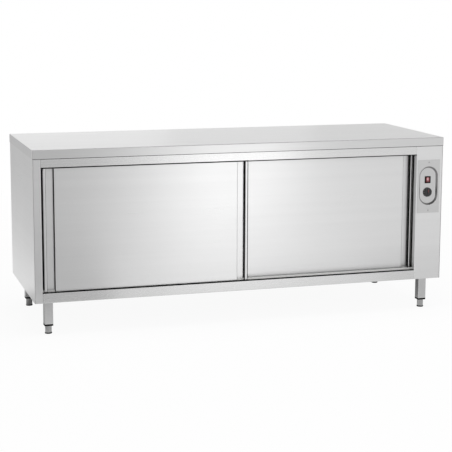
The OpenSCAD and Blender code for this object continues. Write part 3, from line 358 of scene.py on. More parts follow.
def brushed_steel(name, grain, colour, gloss, painted_facing_light=None):
    material, tree, shader = new_material(name)
    fine, broad = (tuple(scale[0] if step else scale[1] for step in grain)
                   for scale in (SCRATCH_SCALE, STREAK_SCALE))
    scratches = speckle(tree, object_place(tree, fine), 1.0, 2.0, 0.7)
    streaks = speckle(tree, object_place(tree, broad), 1.0, 4.0, 0.55)
    clouds = speckle(tree, object_place(tree), CLOUD_SCALE, 2.0, 0.5)
    soft, worn = soft_edges(tree)
    dark, light = (tone(colour, factor) for factor in STREAK_TONES)
    shade = mix_colour(tree, stretch(tree, streaks, MOST, WHOLE), dark, light)
    marked = stretch(tree, scratches, SCRATCH_SPAN, SCRATCH_SHARE)
    shade = mix_colour(tree, marked, shade, tone(colour, SCRATCH_TONE))
    shade = mix_colour(tree, worn, shade, tone(colour, RUBBED_TONE))
    normal = add_node(tree, "ShaderNodeNewGeometry").outputs["Normal"]
    # painted light and shade: the tone is scaled by the way that the face looks
    if painted_facing_light:
        axis, span, painted_light_gains = painted_facing_light
        turned = add_node(tree, "ShaderNodeSeparateXYZ", {0: normal}).outputs[axis]
        scaled = {0: shade, "Scale": stretch(tree, turned, span, painted_light_gains)}
        shade = add_node(tree, "ShaderNodeVectorMath", scaled, operation="SCALE").outputs[0]
    dull = formula(tree, "ADD", stretch(tree, scratches, MOST, around(gloss, 0.02, 0.025)),
                   stretch(tree, clouds, MOST, CLOUD_GLOSS))
    tilted = tuple(Vector(grain) + (LEVEL_TILT if grain[0] else UPRIGHT_TILT))
    across = add_node(tree, "ShaderNodeVectorMath", {0: normal, 1: tilted}, operation="CROSS_PRODUCT")
    fill(shader, base_color=shade, metallic=1.0, roughness=dull, anisotropic=DRAWN_OUT,
         tangent=across.outputs["Vector"], normal=raised(tree, scratches, soft, SCRATCH_DEPTH))
    return material


skin_steel = brushed_steel("brushed_skin", (1, 1, 0), (0.656, 0.656, 0.657), 0.30)
rail_steel = brushed_steel("brushed_rail", (1, 1, 0), (0.62, 0.62, 0.62), 0.26)
# painted light on the worktop's upper face, painted shade on the walls of the plate's dish
top_steel = brushed_steel("brushed_worktop", (1, 0, 0), (0.59, 0.59, 0.59), 0.30,
                          painted_facing_light=("Z", (0.5, 1.0), (1.0, 1.355)))
tube_steel = brushed_steel("brushed_tube", (0, 0, 1), (0.54, 0.54, 0.54), 0.30)
plate_steel = brushed_steel("brushed_plate", (1, 1, 0), (0.54, 0.54, 0.54), 0.33,
                            painted_facing_light=("Y", (-0.95, -0.4), (1.0, 0.5)))
print("five brushed steels")

# %% [markdown]
# ## Liner, zinc and turned steel
# Inside, the sheet is left with its dull mill finish, which has no grain. The hidden brackets and
# the base are galvanised, with the frost-like flowers of zinc: a texture of cells, each with its
# own brightness. Turned pieces have fine rings, from a noise that is squeezed along their axis. All
# of them read the piece's own coordinates, so nothing has to be unwrapped.

# %% Plain metals
MILL_TONE, RING_TONE, METAL_EDGE = 0.94, 0.9, 1.15
TURNED_EDGE = 0.0005
RINGS = (4.0, 4.0, 2600.0)


def mill_steel(name, colour, gloss):
    material, tree, shader = new_material(name)
    place = object_place(tree)
    soft, worn = soft_edges(tree)
    cloud = speckle(tree, place, 9.0, 5.0, 0.65)
    grit = speckle(tree, place, 900.0, 2.0)
    shade = mix_colour(tree, stretch(tree, cloud, MOST, WHOLE), tone(colour, MILL_TONE), colour)
    shade = mix_colour(tree, worn, shade, tone(colour, METAL_EDGE))
    fill(shader, base_color=shade, metallic=1.0, normal=raised(tree, grit, soft, 0.00003),
         roughness=stretch(tree, cloud, MOST, around(gloss, 0.04, 0.05)))
    return material


def zinc(name):
    material, tree, shader = new_material(name)
    place = object_place(tree)
    soft, worn = soft_edges(tree)
    flowers = add_node(tree, "ShaderNodeTexVoronoi", {"Vector": place, "Scale": 75.0, "Randomness": 1.0})
    flower = add_node(tree, "ShaderNodeSeparateColor", {0: flowers.outputs["Color"]}).outputs[0]
    frost = speckle(tree, place, 420.0)
    shade = mix_colour(tree, flower, (0.50, 0.52, 0.54), (0.66, 0.68, 0.70))
    shade = mix_colour(tree, stretch(tree, frost, (0.5, 0.8), (0.0, 0.4)), shade, (0.74, 0.75, 0.76))
    shade = mix_colour(tree, worn, shade, (0.78, 0.78, 0.78))
    fill(shader, base_color=shade, metallic=1.0, roughness=stretch(tree, flower, WHOLE, (0.34, 0.52)),
         normal=raised(tree, frost, soft, 0.00004))
    return material


def turned_steel(name, colour, gloss):
    material, tree, shader = new_material(name)
    soft, worn = soft_edges(tree, TURNED_EDGE)
    rings = speckle(tree, object_place(tree, RINGS), 1.0, 2.0, 0.7)
    cloud = speckle(tree, object_place(tree), 60.0)
    shade = mix_colour(tree, stretch(tree, rings, (0.35, 0.7), WHOLE), tone(colour, RING_TONE), colour)
    shade = mix_colour(tree, worn, shade, tone(colour, METAL_EDGE))
    fill(shader, base_color=shade, metallic=1.0, normal=raised(tree, rings, soft, 0.00003),
         roughness=stretch(tree, cloud, MOST, around(gloss, 0.05, 0.06)))
    return material


liner_steel = mill_steel("mill_liner", (0.66, 0.66, 0.65), 0.36)
# painted light: the guide's sheet is made brighter than the liner, to lift the shade under the doors
lit_guide_steel = mill_steel("bright_guide_painted_light", (0.82, 0.82, 0.81), 0.60)
fan_sheet = mill_steel("bright_aluminium", (0.80, 0.81, 0.82), 0.30)
zinc_steel = zinc("galvanised_sheet")
bright_steel = turned_steel("turned_steel", (0.70, 0.70, 0.69), 0.26)
# painted shade: the feet's turned steel is made darker than the other turned steel
shaded_foot_steel = turned_steel("turned_foot_painted_shade", (0.36, 0.36, 0.36), 0.34)
screw_steel = turned_steel("turned_screw", (0.40, 0.40, 0.40), 0.30)
print("seven plain metals")

# %% [markdown]
# ## Plastics
# The knob, the rocker and the rollers are moulded: a fine spark-eroded skin, a satin shine and
# edges rubbed a little paler. The black strips that paint shade lines round the doors and in the
# grips, the shade rings at the feet, the leg inserts and the switch housing are the same black
# without a shine, so they stay dark beside the steel.

# %% Moulded plastics
CLOUD_TONE = 0.85
RUBBED_GAIN, RUBBED_LIFT = 1.5, 0.02


def moulded(name, colour, gloss, grain=1500.0, depth=0.00003, shine=0.5):
    material, tree, shader = new_material(name)
    place = object_place(tree)
    soft, worn = soft_edges(tree)
    skin = speckle(tree, place, grain, 2.0)
    cloud = speckle(tree, place, 45.0)
    shade = mix_colour(tree, stretch(tree, cloud, MOST, WHOLE), tone(colour, CLOUD_TONE), colour)
    rubbed = formula(tree, "MULTIPLY", worn, stretch(tree, skin, (0.35, 0.65), (0.2, 0.6)))
    shade = mix_colour(tree, rubbed, shade, tuple(min(1.0, RUBBED_GAIN * c + RUBBED_LIFT) for c in colour))
    fill(shader, base_color=shade, normal=raised(tree, skin, soft, depth), specular_ior_level=shine,
         roughness=stretch(tree, cloud, MOST, around(gloss, 0.05, 0.06)))
    return material


black_plastic = moulded("black_moulding", (0.018, 0.018, 0.019), 0.36)
matt_black = moulded("matt_black_moulding", (0.010, 0.010, 0.010), 0.8, grain=900.0, depth=0.00005,
                     shine=0.0)
dark_plastic = moulded("dark_moulding", (0.05, 0.048, 0.046), 0.45)
red_plastic = moulded("red_rocker", (0.13, 0.010, 0.013), 0.16, depth=0.00001)
white_nylon = moulded("white_nylon", (0.78, 0.77, 0.73), 0.42)
print("five plastics")

# %% [markdown]
# ## Finishes of the heater's parts
# The element is steel that has been hot, so it runs from straw to blue. The capillary is copper
# with brown tarnish, the motor is steel sheets stacked like pages, the insulation is mineral wool,
# and the terminal block is glazed ceramic.

# %% Element and capillary
TINTS = ((0.30, (0.30, 0.24, 0.17, 1)), (0.48, (0.26, 0.16, 0.13, 1)),
         (0.60, (0.13, 0.13, 0.21, 1)), (0.75, (0.27, 0.27, 0.28, 1)))
CAPILLARY_EDGE = 0.0003


def tinted_element(name):
    material, tree, shader = new_material(name)
    place = object_place(tree)
    soft = soft_edges(tree)[0]
    ramp = add_node(tree, "ShaderNodeValToRGB", {"Fac": speckle(tree, place, 14.0)})
    steps = ramp.color_ramp.elements
    for step, (spot, tint) in zip(steps, (TINTS[0], TINTS[-1])):
        step.position = spot
        step.color = tint
    for spot, tint in TINTS[1:-1]:
        steps.new(spot).color = tint
    scale = speckle(tree, place, 700.0)
    fill(shader, base_color=ramp.outputs["Color"], metallic=0.9, normal=raised(tree, scale, soft, 0.00005),
         roughness=stretch(tree, scale, MOST, (0.38, 0.6)))
    return material


def copper_tube(name):
    material, tree, shader = new_material(name)
    soft = soft_edges(tree, CAPILLARY_EDGE)[0]
    stain = speckle(tree, object_place(tree), 38.0, 4.0)
    tarnish = stretch(tree, stain, (0.42, 0.68), WHOLE)
    shade = mix_colour(tree, tarnish, (0.78, 0.38, 0.22), (0.36, 0.17, 0.09))
    fill(shader, base_color=shade, metallic=1.0, normal=raised(tree, stain, soft, 0.00004),
         roughness=stretch(tree, stain, MOST, (0.24, 0.5)))
    return material


element_steel = tinted_element("heat_tinted_steel")
copper = copper_tube("tarnished_copper")
print("element and capillary finishes")

# %% Motor, wool and ceramic
STRANDS = (60.0, 60.0, 900.0)


def stacked_steel(name):
    material, tree, shader = new_material(name)
    place = object_place(tree)
    soft = soft_edges(tree, TURNED_EDGE)[0]
    sheets = add_node(tree, "ShaderNodeTexWave", {"Vector": place, "Scale": 320.0, "Distortion": 0.4},
                      bands_direction="X").outputs["Fac"]
    stain = speckle(tree, place, 55.0, 4.0)
    shade = mix_colour(tree, sheets, (0.16, 0.16, 0.17), (0.34, 0.34, 0.35))
    shade = mix_colour(tree, stretch(tree, stain, (0.5, 0.8), (0.0, 0.5)), shade, (0.22, 0.17, 0.13))
    fill(shader, base_color=shade, metallic=0.9, roughness=stretch(tree, stain, MOST, (0.4, 0.6)),
         normal=raised(tree, sheets, soft, 0.0001))
    return material


def wool(name):
    material, tree, shader = new_material(name)
    strands = speckle(tree, object_place(tree, STRANDS), 1.0, 5.0, 0.75)
    tufts = speckle(tree, object_place(tree), 120.0, 6.0, 0.7)
    normal = add_node(tree, "ShaderNodeNewGeometry").outputs["Normal"]
    shade = mix_colour(tree, stretch(tree, strands, MOST, WHOLE), (0.34, 0.28, 0.15), (0.62, 0.55, 0.33))
    shade = mix_colour(tree, stretch(tree, tufts, (0.55, 0.8), (0.0, 0.6)), shade, (0.70, 0.66, 0.48))
    fill(shader, base_color=shade, roughness=0.95, normal=raised(tree, tufts, normal, 0.002))
    return material


motor_steel = stacked_steel("stacked_motor_steel")
mineral_wool = wool("mineral_wool")
ceramic = moulded("glazed_ceramic", (0.74, 0.70, 0.62), 0.2, grain=300.0, depth=0.00005)
print("motor, wool and ceramic finishes")

# %% [markdown]
# ## Finishes on the solids
# The record names a material slot for every solid, so one table from slot to finish dresses them
# all. A second table holds the solids that differ from their slot: the worktop's grain runs along
# it, the legs' grain runs up them, the rails are a little darker and glossier, the pressed control
# plate is duller, the leg inserts are matt, and the feet are painted darker, as painted shade.

# %% Dress the solids
CORNERS = ("front_left", "front_right", "back_left", "back_right")
FINISHES = {
    "stainless_skin": skin_steel, "stainless_liner": liner_steel, "zinc_steel": zinc_steel,
    "bright_steel": bright_steel, "mineral_wool": mineral_wool, "black_plastic": black_plastic,
    "dark_plastic": dark_plastic, "red_plastic": red_plastic, "white_nylon": white_nylon,
    "copper": copper, "element_steel": element_steel, "motor_steel": motor_steel,
    "aluminium_sheet": fan_sheet, "terminal_ceramic": ceramic}
OWN_FINISH = {
    "worktop": top_steel, "legs": tube_steel, "control_plate": plate_steel, "leg_inserts": matt_black,
    "top_rail": rail_steel, "bottom_rail": rail_steel,
    **{"foot_" + corner: shaded_foot_steel for corner in CORNERS}}
for part in frame["record"]["subparts"]:
    finish = OWN_FINISH.get(part["node"], FINISHES[part["material_slot"]])
    for slot in nodes[part["node"]].material_slots:
        slot.material = finish
print(len(nodes), "solids dressed,", len(OWN_FINISH), "with a finish of their own")

# %% [markdown]
# ## Softened mouldings
# The knob, the rocker and the switch housing are moulded with rounded edges that the solids leave
# sharp. A copy of each solid is merged into one skin, its flat triangles are joined, and the Bevel
# modifier rounds what is left. That keeps the shape and the place of the solid. The knob's front is
# then set back a little, which leaves room for the line that is printed on it.

# %% Helpers for pieces
MERGE = 1e-6
FLAT_ANGLE, ROUND_ANGLE, SMOOTH_ANGLE = radians(0.8), radians(28), radians(40)


def plain_piece(name, mesh, body, slot_name, finish, *stands_for):
    piece = bpy.data.objects.new(name, mesh)
    scene.collection.objects.link(piece)
    mesh.materials.clear()
    mesh.materials.append(finish)
    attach(piece, body)
    if stands_for:
        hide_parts(*stands_for)
    print(name, len(mesh.polygons), "faces on", body)


def evaluated_mesh(source, name):
    bpy.context.view_layer.update()
    graph = bpy.context.evaluated_depsgraph_get()
    mesh = bpy.data.meshes.new_from_object(source.evaluated_get(graph))
    mesh.name = name
    bpy.data.objects.remove(source)
    return mesh


def kept_mesh(shape, name):
    mesh = bpy.data.meshes.new(name)
    shape.to_mesh(mesh)
    shape.free()
    return mesh


def merged_copy(node):
    shape = bmesh.new()
    shape.from_mesh(nodes[node].data)
    bmesh.ops.remove_doubles(shape, verts=shape.verts, dist=MERGE)
    return shape


def softened(node, width, segments=3):
    shape = merged_copy(node)
    bmesh.ops.dissolve_limit(shape, angle_limit=FLAT_ANGLE, verts=shape.verts, edges=shape.edges)
    holder = bpy.data.objects.new("holder", kept_mesh(shape, "softened_" + node))
    scene.collection.objects.link(holder)
    rounding = holder.modifiers.new("rounding", "BEVEL")
    rounding.width = width
    rounding.segments = segments
    rounding.limit_method = "ANGLE"
    rounding.angle_limit = ROUND_ANGLE
    rounding.use_clamp_overlap = True
    result = evaluated_mesh(holder, "soft_" + node)
    result.shade_smooth()
    result.set_sharp_from_angle(angle=SMOOTH_ANGLE)
    return result


print("helpers for pieces ready")

# %% Knob
KNOB_ROUND, KNOB_FACE, INLAY = 0.0006, 0.001, 0.0003
knob_mesh = softened("thermostat_knob", KNOB_ROUND)
knob_front = min(v.co.y for v in knob_mesh.vertices)
for v in knob_mesh.vertices:
    if v.co.y < knob_front + KNOB_FACE:
        v.co.y += INLAY
plain_piece("moulded_knob", knob_mesh, "knob", "black_plastic", black_plastic, "thermostat_knob")

# %% [markdown]
# ## Rocker with its lamp
# The rocker is a red lens with a small lamp behind it. Its finish glows round one spot, a little
# above the middle, and dies away from it: the distance from the spot is divided by the lamp's
# spread, turned round and squared. A lamp inside would need a hollow, clear lens, so the finish
# itself glows. The housing round it is matt black.

# %% Rocker and switch housing
LAMP_COLOUR, LAMP_SPREAD, LAMP_UP = (0.98, 0.57, 0.60), (0.010, 0.020, 0.016), 0.12
ROCKER_ROUND, HOUSING_ROUND = 0.0006, 0.0005
low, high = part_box("switch_rocker")
lamp_spot = (low + high) / 2 + Vector((0.0, 0.0, LAMP_UP * (high.z - low.z)))
tree = red_plastic.node_tree
place = add_node(tree, "ShaderNodeTexCoord").outputs["Object"]
for operation, value in (("SUBTRACT", tuple(lamp_spot)), ("DIVIDE", LAMP_SPREAD)):
    place = add_node(tree, "ShaderNodeVectorMath", {0: place, 1: value}, operation=operation).outputs[0]
away = add_node(tree, "ShaderNodeVectorMath", {0: place}, operation="LENGTH").outputs["Value"]
lit = stretch(tree, away, (1.0, 0.0), WHOLE)
fill(tree.nodes["Principled BSDF"], emission_color=LAMP_COLOUR,
     emission_strength=formula(tree, "MULTIPLY", lit, lit))
plain_piece("moulded_rocker", softened("switch_rocker", ROCKER_ROUND), "rocker", "red_plastic",
            red_plastic, "switch_rocker")
plain_piece("moulded_switch_housing", softened("switch_housing", HOUSING_ROUND), "cabinet",
            "black_plastic", matt_black, "switch_housing")

# %% [markdown]
# ## Trees that scatter small pieces
# Screws, rivets and scale marks repeat, so a Geometry Nodes tree makes each kind from named sizes.
# The helper below starts a tree with its inputs, and another runs it once on an empty mesh and
# keeps the result as a plain mesh, because instances don't survive an export. A loop could copy
# the pieces too, but a tree keeps its sizes as inputs with names, which are easy to change.


# %% Helpers for geometry trees
def new_tree(name, sizes):
    tree = bpy.data.node_groups.new(name, "GeometryNodeTree")
    for label, (kind, value) in sizes.items():
        socket = tree.interface.new_socket(name=label, in_out="INPUT", socket_type="NodeSocket" + kind)
        socket.default_value = value
    tree.interface.new_socket(name="Geometry", in_out="OUTPUT", socket_type="NodeSocketGeometry")
    given = tree.nodes.new("NodeGroupInput").outputs
    return tree, {label: given[label] for label in sizes}


def end_tree(tree, geometry, finish):
    solid = add_node(tree, "GeometryNodeRealizeInstances", {"Geometry": geometry})
    painted = add_node(tree, "GeometryNodeSetMaterial", {"Geometry": solid.outputs[0], "Material": finish})
    result = tree.nodes.new("NodeGroupOutput")
    tree.links.new(painted.outputs[0], result.inputs[0])


def grown(tree, name, **values):
    holder = bpy.data.objects.new("holder", bpy.data.meshes.new("holder"))
    scene.collection.objects.link(holder)
    maker = holder.modifiers.new("maker", "NODES")
    maker.node_group = tree
    for item in tree.interface.items_tree:
        if item.in_out == "INPUT" and item.name in values:
            maker[item.identifier] = values[item.name]
    return evaluated_mesh(holder, name)


def vector(tree, x=0.0, y=0.0, z=0.0):
    return add_node(tree, "ShaderNodeCombineXYZ", {0: x, 1: y, 2: z}).outputs[0]


def joined(tree, *parts):
    join = tree.nodes.new("GeometryNodeJoinGeometry")
    for part in reversed(parts):
        tree.links.new(part, join.inputs[0])
    return join.outputs[0]


def moved(tree, geometry, **change):
    inputs = {"Geometry": geometry, **{key.title(): value for key, value in change.items()}}
    return add_node(tree, "GeometryNodeTransform", inputs).outputs[0]


def cut_away(tree, mesh, tool):
    cut = add_node(tree, "GeometryNodeMeshBoolean", {"Mesh 1": mesh}, operation="DIFFERENCE")
    tree.links.new(tool, cut.inputs["Mesh 2"])
    return cut.outputs[0]


print("geometry helpers ready")

# %% [markdown]
# ## Screws of the control plate
# Two cross-head screws hold the plate. Each is a low dome with a cross-shaped recess and a shank. A
# squashed sphere gives the dome, two bars cut the cross out of it, and a line of two points
# sets one screw at each end of the plate.

# %% Tree of the screws
RECESS, SCREW_TURN = 1.3, (pi / 2, 0.2, 0.0)
screws, size = new_tree("cross_head_screws", {
    "Head Radius": ("Float", 0.004), "Head Height": ("Float", 0.001), "Shank Radius": ("Float", 0.002),
    "Shank Length": ("Float", 0.008), "Cross": ("Float", 0.0042), "Slot": ("Float", 0.0009),
    "First": ("Vector", (0, 0, 0)), "Step": ("Vector", (0, 0, 0.1))})
radius, rise, length = size["Head Radius"], size["Head Height"], size["Shank Length"]
ball = add_node(screws, "GeometryNodeMeshUVSphere", {"Segments": 40, "Rings": 20, "Radius": 1.0}).outputs[0]
dome = moved(screws, ball, scale=vector(screws, radius, radius, rise))
shank = add_node(screws, "GeometryNodeMeshCylinder", {"Vertices": 24, "Radius": size["Shank Radius"],
                                                      "Depth": length}).outputs["Mesh"]
shank = moved(screws, shank, translation=vector(screws, z=formula(screws, "MULTIPLY", length, -0.5)))
deep = formula(screws, "MULTIPLY", rise, RECESS)
bars = [add_node(screws, "GeometryNodeMeshCube", {"Size": vector(screws, *pair, deep)}).outputs[0]
        for pair in ((size["Cross"], size["Slot"]), (size["Slot"], size["Cross"]))]
cross = moved(screws, joined(screws, *bars), translation=vector(screws, z=rise))
one = moved(screws, joined(screws, cut_away(screws, dome, cross), shank), rotation=SCREW_TURN)
row = add_node(screws, "GeometryNodeMeshLine", {"Count": 2, "Start Location": size["First"],
                                                "Offset": size["Step"]}).outputs[0]
placed = add_node(screws, "GeometryNodeInstanceOnPoints", {"Points": row, "Instance": one}).outputs[0]
end_tree(screws, placed, screw_steel)
print("screw tree has", len(screws.nodes), "nodes")

# %% Screws
low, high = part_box("plate_screws")
plate_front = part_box("control_plate")[0].y
head_r = (high.x - low.x) / 2
screw_mesh = grown(screws, "cross_head_screws", **{
    "Head Radius": head_r, "Head Height": plate_front - low.y, "Shank Length": high.y - plate_front,
    "First": (low.x + head_r, plate_front, low.z + head_r),
    "Step": (0.0, 0.0, high.z - low.z - 2 * head_r)})
plain_piece("cross_head_screws", screw_mesh, "cabinet", "bright_steel", screw_steel, "plate_screws")

# %% [markdown]
# ## Rivets of the back panel
# The back is closed with blind rivets along its edges. A rivet is a flat dome with the hole that its
# pin leaves. A grid of points over the panel, kept only at its rim, puts them round all four edges.

# %% Tree of the rivets
FACES_INSIDE = 4
rivets, size = new_tree("back_rivets", {
    "Width": ("Float", 1.9), "Height": ("Float", 0.6), "Across": ("Int", 14), "Up": ("Int", 5),
    "Radius": ("Float", 0.0048), "Rise": ("Float", 0.0013), "Pin": ("Float", 0.0014),
    "Centre": ("Vector", (0, 0, 0))})
ball = add_node(rivets, "GeometryNodeMeshUVSphere", {"Segments": 28, "Rings": 12, "Radius": 1.0}).outputs[0]
dome = moved(rivets, ball, scale=vector(rivets, size["Radius"], size["Radius"], size["Rise"]))
hole = add_node(rivets, "GeometryNodeMeshCylinder", {"Vertices": 16, "Radius": size["Pin"],
                                                     "Depth": size["Rise"]}).outputs["Mesh"]
hole = moved(rivets, hole, translation=vector(rivets, z=size["Rise"]))
one = moved(rivets, cut_away(rivets, dome, hole), rotation=(-pi / 2, 0.0, 0.0))
sheet = add_node(rivets, "GeometryNodeMeshGrid", {
    "Size X": size["Width"], "Size Y": size["Height"],
    "Vertices X": size["Across"], "Vertices Y": size["Up"]}).outputs["Mesh"]
sheet = moved(rivets, sheet, rotation=(pi / 2, 0.0, 0.0), translation=size["Centre"])
beside = add_node(rivets, "GeometryNodeInputMeshVertexNeighbors").outputs["Face Count"]
rim = add_node(rivets, "FunctionNodeCompare", {2: beside, 3: FACES_INSIDE}, data_type="INT",
               operation="LESS_THAN").outputs[0]
placed = add_node(rivets, "GeometryNodeInstanceOnPoints", {"Points": sheet, "Selection": rim,
                                                           "Instance": one}).outputs[0]
end_tree(rivets, placed, fan_sheet)
print("rivet tree has", len(rivets.nodes), "nodes")

# %% Rivets
RIVET_INSET = 0.022
low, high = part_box("back_panel")
rivet_mesh = grown(rivets, "back_rivets", **{
    "Width": high.x - low.x - 2 * RIVET_INSET, "Height": high.z - low.z - 2 * RIVET_INSET,
    "Centre": ((low.x + high.x) / 2, high.y, (low.z + high.z) / 2)})
plain_piece("back_rivets", rivet_mesh, "cabinet", "aluminium_sheet", fan_sheet)

# %% [markdown]
# ## Scale on the knob's skirt
# The skirt carries a printed scale of fine marks. They follow an arc, so a tree sets them on it. The
# numbers are text that is made a mesh and laid on the skirt. They turn with the knob, and so does
# the red line along the pointer bar.

# %% Tree of the scale marks
KNOB_TURN = radians(270)
ink = moulded("white_print", (0.62, 0.62, 0.60), 0.5, depth=0.00001)
red_ink = moulded("red_print", (0.30, 0.035, 0.045), 0.45, depth=0.00001)
marks, size = new_tree("scale_marks", {
    "Count": ("Int", 28), "Turn": ("Float", KNOB_TURN), "Radius": ("Float", 0.0222),
    "Long": ("Float", 0.0016), "Wide": ("Float", 0.00035), "Thick": ("Float", 0.00008),
    "Centre": ("Vector", (0, 0, 0))})
order = add_node(marks, "GeometryNodeInputIndex").outputs[0]
last = formula(marks, "SUBTRACT", size["Count"], 1.0)
angle = formula(marks, "MULTIPLY", formula(marks, "DIVIDE", order, last), size["Turn"])
spots = add_node(marks, "GeometryNodeMeshLine", {"Count": size["Count"]}).outputs[0]
sideways = formula(marks, "MULTIPLY", formula(marks, "SINE", angle), size["Radius"])
upwards = formula(marks, "MULTIPLY", formula(marks, "COSINE", angle), size["Radius"])
reach = vector(marks, sideways, 0.0, upwards)
spots = add_node(marks, "GeometryNodeSetPosition", {"Geometry": spots, "Position": reach}).outputs[0]
bar_size = vector(marks, size["Wide"], size["Thick"], size["Long"])
bar = add_node(marks, "GeometryNodeMeshCube", {"Size": bar_size}).outputs[0]
placed = add_node(marks, "GeometryNodeInstanceOnPoints", {
    "Points": spots, "Instance": bar, "Rotation": vector(marks, y=angle)}).outputs[0]
end_tree(marks, moved(marks, placed, translation=size["Centre"]), ink)
print("scale tree has", len(marks.nodes), "nodes")

# %% Scale marks
SKIRT_RISE, MARK_INSET = 0.004, 0.0019
low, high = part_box("thermostat_knob")
axis_x, axis_z = (low.x + high.x) / 2, (low.z + high.z) / 2
skirt_y = high.y - SKIRT_RISE
mark_mesh = grown(marks, "knob_scale_marks", Turn=-KNOB_TURN, Radius=(high.x - low.x) / 2 - MARK_INSET,
                  Centre=(axis_x, skirt_y, axis_z))
plain_piece("knob_scale_marks", mark_mesh, "knob", "white_nylon", ink)

# %% Numbers
NUMBER_SIZE, NUMBER_THICK, NUMBER_CURVE, NUMBER_R = 0.0032, 0.00004, 3, 0.0199
SETTINGS = range(30, 111, 10)
MERGE_GATHERED = 1e-7


def number_mesh(text, turn):
    words = bpy.data.curves.new("number", "FONT")
    words.body = text
    words.size = NUMBER_SIZE
    words.align_x = words.align_y = "CENTER"
    words.extrude = NUMBER_THICK
    words.resolution_u = NUMBER_CURVE
    holder = bpy.data.objects.new("number", words)
    scene.collection.objects.link(holder)
    mesh = evaluated_mesh(holder, "number")
    upright = Matrix.Translation((0, 0, NUMBER_R)) @ Matrix.Rotation(pi / 2, 4, "X")
    turned = Matrix.Rotation(turn, 4, "Y") @ upright
    mesh.transform(Matrix.Translation((axis_x, skirt_y, axis_z)) @ turned)
    return mesh


def gathered(meshes, name):
    shape = bmesh.new()
    for mesh in meshes:
        shape.from_mesh(mesh)
        bpy.data.meshes.remove(mesh)
    bmesh.ops.remove_doubles(shape, verts=shape.verts, dist=MERGE_GATHERED)
    return kept_mesh(shape, name)


numbers = [number_mesh(str(degrees), -KNOB_TURN * (i + 1) / len(SETTINGS))
           for i, degrees in enumerate(SETTINGS)]
plain_piece("knob_numbers", gathered(numbers, "knob_numbers"), "knob", "white_nylon", ink)

# %% Pointer line
BAR_SEGMENTS = 2
LINE_HALF, LINE_FROM, LINE_TO, LINE_ROUND = 0.0010, 0.0010, 0.0140, 0.0001


def rounded_bar(low, high, radius):
    shape = bmesh.new()
    bmesh.ops.create_cube(shape, size=1.0)
    middle, span = (Vector(low) + Vector(high)) / 2, Vector(high) - Vector(low)
    for v in shape.verts:
        v.co = Vector((v.co.x * span.x, v.co.y * span.y, v.co.z * span.z)) + middle
    bmesh.ops.bevel(shape, geom=shape.edges, offset=radius, segments=BAR_SEGMENTS, profile=0.5,
                    affect="EDGES")
    return kept_mesh(shape, "bar")


line = rounded_bar((axis_x - LINE_HALF, knob_front, axis_z + LINE_FROM),
                   (axis_x + LINE_HALF, knob_front + 2 * INLAY, axis_z + LINE_TO), LINE_ROUND)
plain_piece("knob_pointer_line", line, "knob", "red_plastic", red_ink)

# %% [markdown]
# ## Painted shade lines round the doorway
# A thin black strip stands on the sill and another hangs under the top rail; they paint the dark
# shade lines above and below the doors. Over the front door a thin black strip on the top rail's
# lower edge paints the shade line there, and a black strip below the worktop's edge paints the
# shade line under the lip. All are plain bars with rounded edges, made with a bevel.

# %% Painted shade lines at the sill, the top rail and the lip
SHADE_LINE_BACK, SHADE_LINE_WIDE, SHADE_LINE_UP, SHADE_LINE_DOWN = 0.0028, 0.0020, 0.0050, 0.0036
TOP_STRIP_PROUD, TOP_STRIP_IN, TOP_STRIP_UP, TOP_STRIP_DOWN = 0.0004, 0.0008, 0.0020, 0.0030
SUNK, SHADE_LINE_ROUND, TRIM_ROUND = 0.0002, 0.0005, 0.0002
low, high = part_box("bottom_rail")
# painted shade: black strips on the sill and under the top rail paint the shade lines above and below the
# doors
shade_lines = [rounded_bar((low.x, low.y + SHADE_LINE_BACK, high.z - SUNK),
                     (high.x, low.y + SHADE_LINE_BACK + SHADE_LINE_WIDE, high.z + SHADE_LINE_UP), SHADE_LINE_ROUND)]
low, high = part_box("top_rail")
shade_lines.append(rounded_bar((low.x, low.y + SHADE_LINE_BACK, low.z - SHADE_LINE_DOWN),
                         (high.x, low.y + SHADE_LINE_BACK + SHADE_LINE_WIDE, low.z + SUNK), SHADE_LINE_ROUND))
# painted shade: a black strip on the top rail's lower edge over the front door
doors_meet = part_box("front_door_grips")[1].x
shade_lines.append(rounded_bar((low.x, low.y - TOP_STRIP_PROUD, low.z - TOP_STRIP_DOWN),
                         (doors_meet, low.y + TOP_STRIP_IN, low.z + TOP_STRIP_UP), TRIM_ROUND))
plain_piece("doorway_shade_lines", gathered(shade_lines, "doorway_shade_lines"), "cabinet", "black_plastic", matt_black)

# painted shade: a black strip under the worktop's edge paints the shade line under the lip
LIP_LINE_DOWN, LIP_LINE_INSET, LIP_LINE_FRONT, LIP_LINE_BACK = 0.0021, 0.003, 0.0002, 0.0022
lip_z = high.z
low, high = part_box("worktop")
lip_shade_line = rounded_bar((low.x + LIP_LINE_INSET, low.y + LIP_LINE_FRONT, lip_z - LIP_LINE_DOWN),
                   (high.x - LIP_LINE_INSET, low.y + LIP_LINE_BACK, lip_z + SUNK), TRIM_ROUND)
plain_piece("worktop_lip_shade_line", lip_shade_line, "cabinet", "black_plastic", matt_black)

# %% [markdown]
# ## Painted shade strips in the grips, guide and the line where the doors meet
# Each door has a recessed grip at both ends. Thin black strips on the walls of a grip paint the
# shade that falls in the recess, and each has a narrow foot on the bottom of the recess. Low down a
# wall's strip is shallow, because the guide's fin runs behind it inside the door. The guide on the
# sill is sheet with slightly rounded edges, painted brighter than the liner to lift the shade under
# the doors, and a black strip on the front door's inner end paints the shade line where the doors
# meet. A dark finish on the walls would do from in front, but strips keep their black from every side.

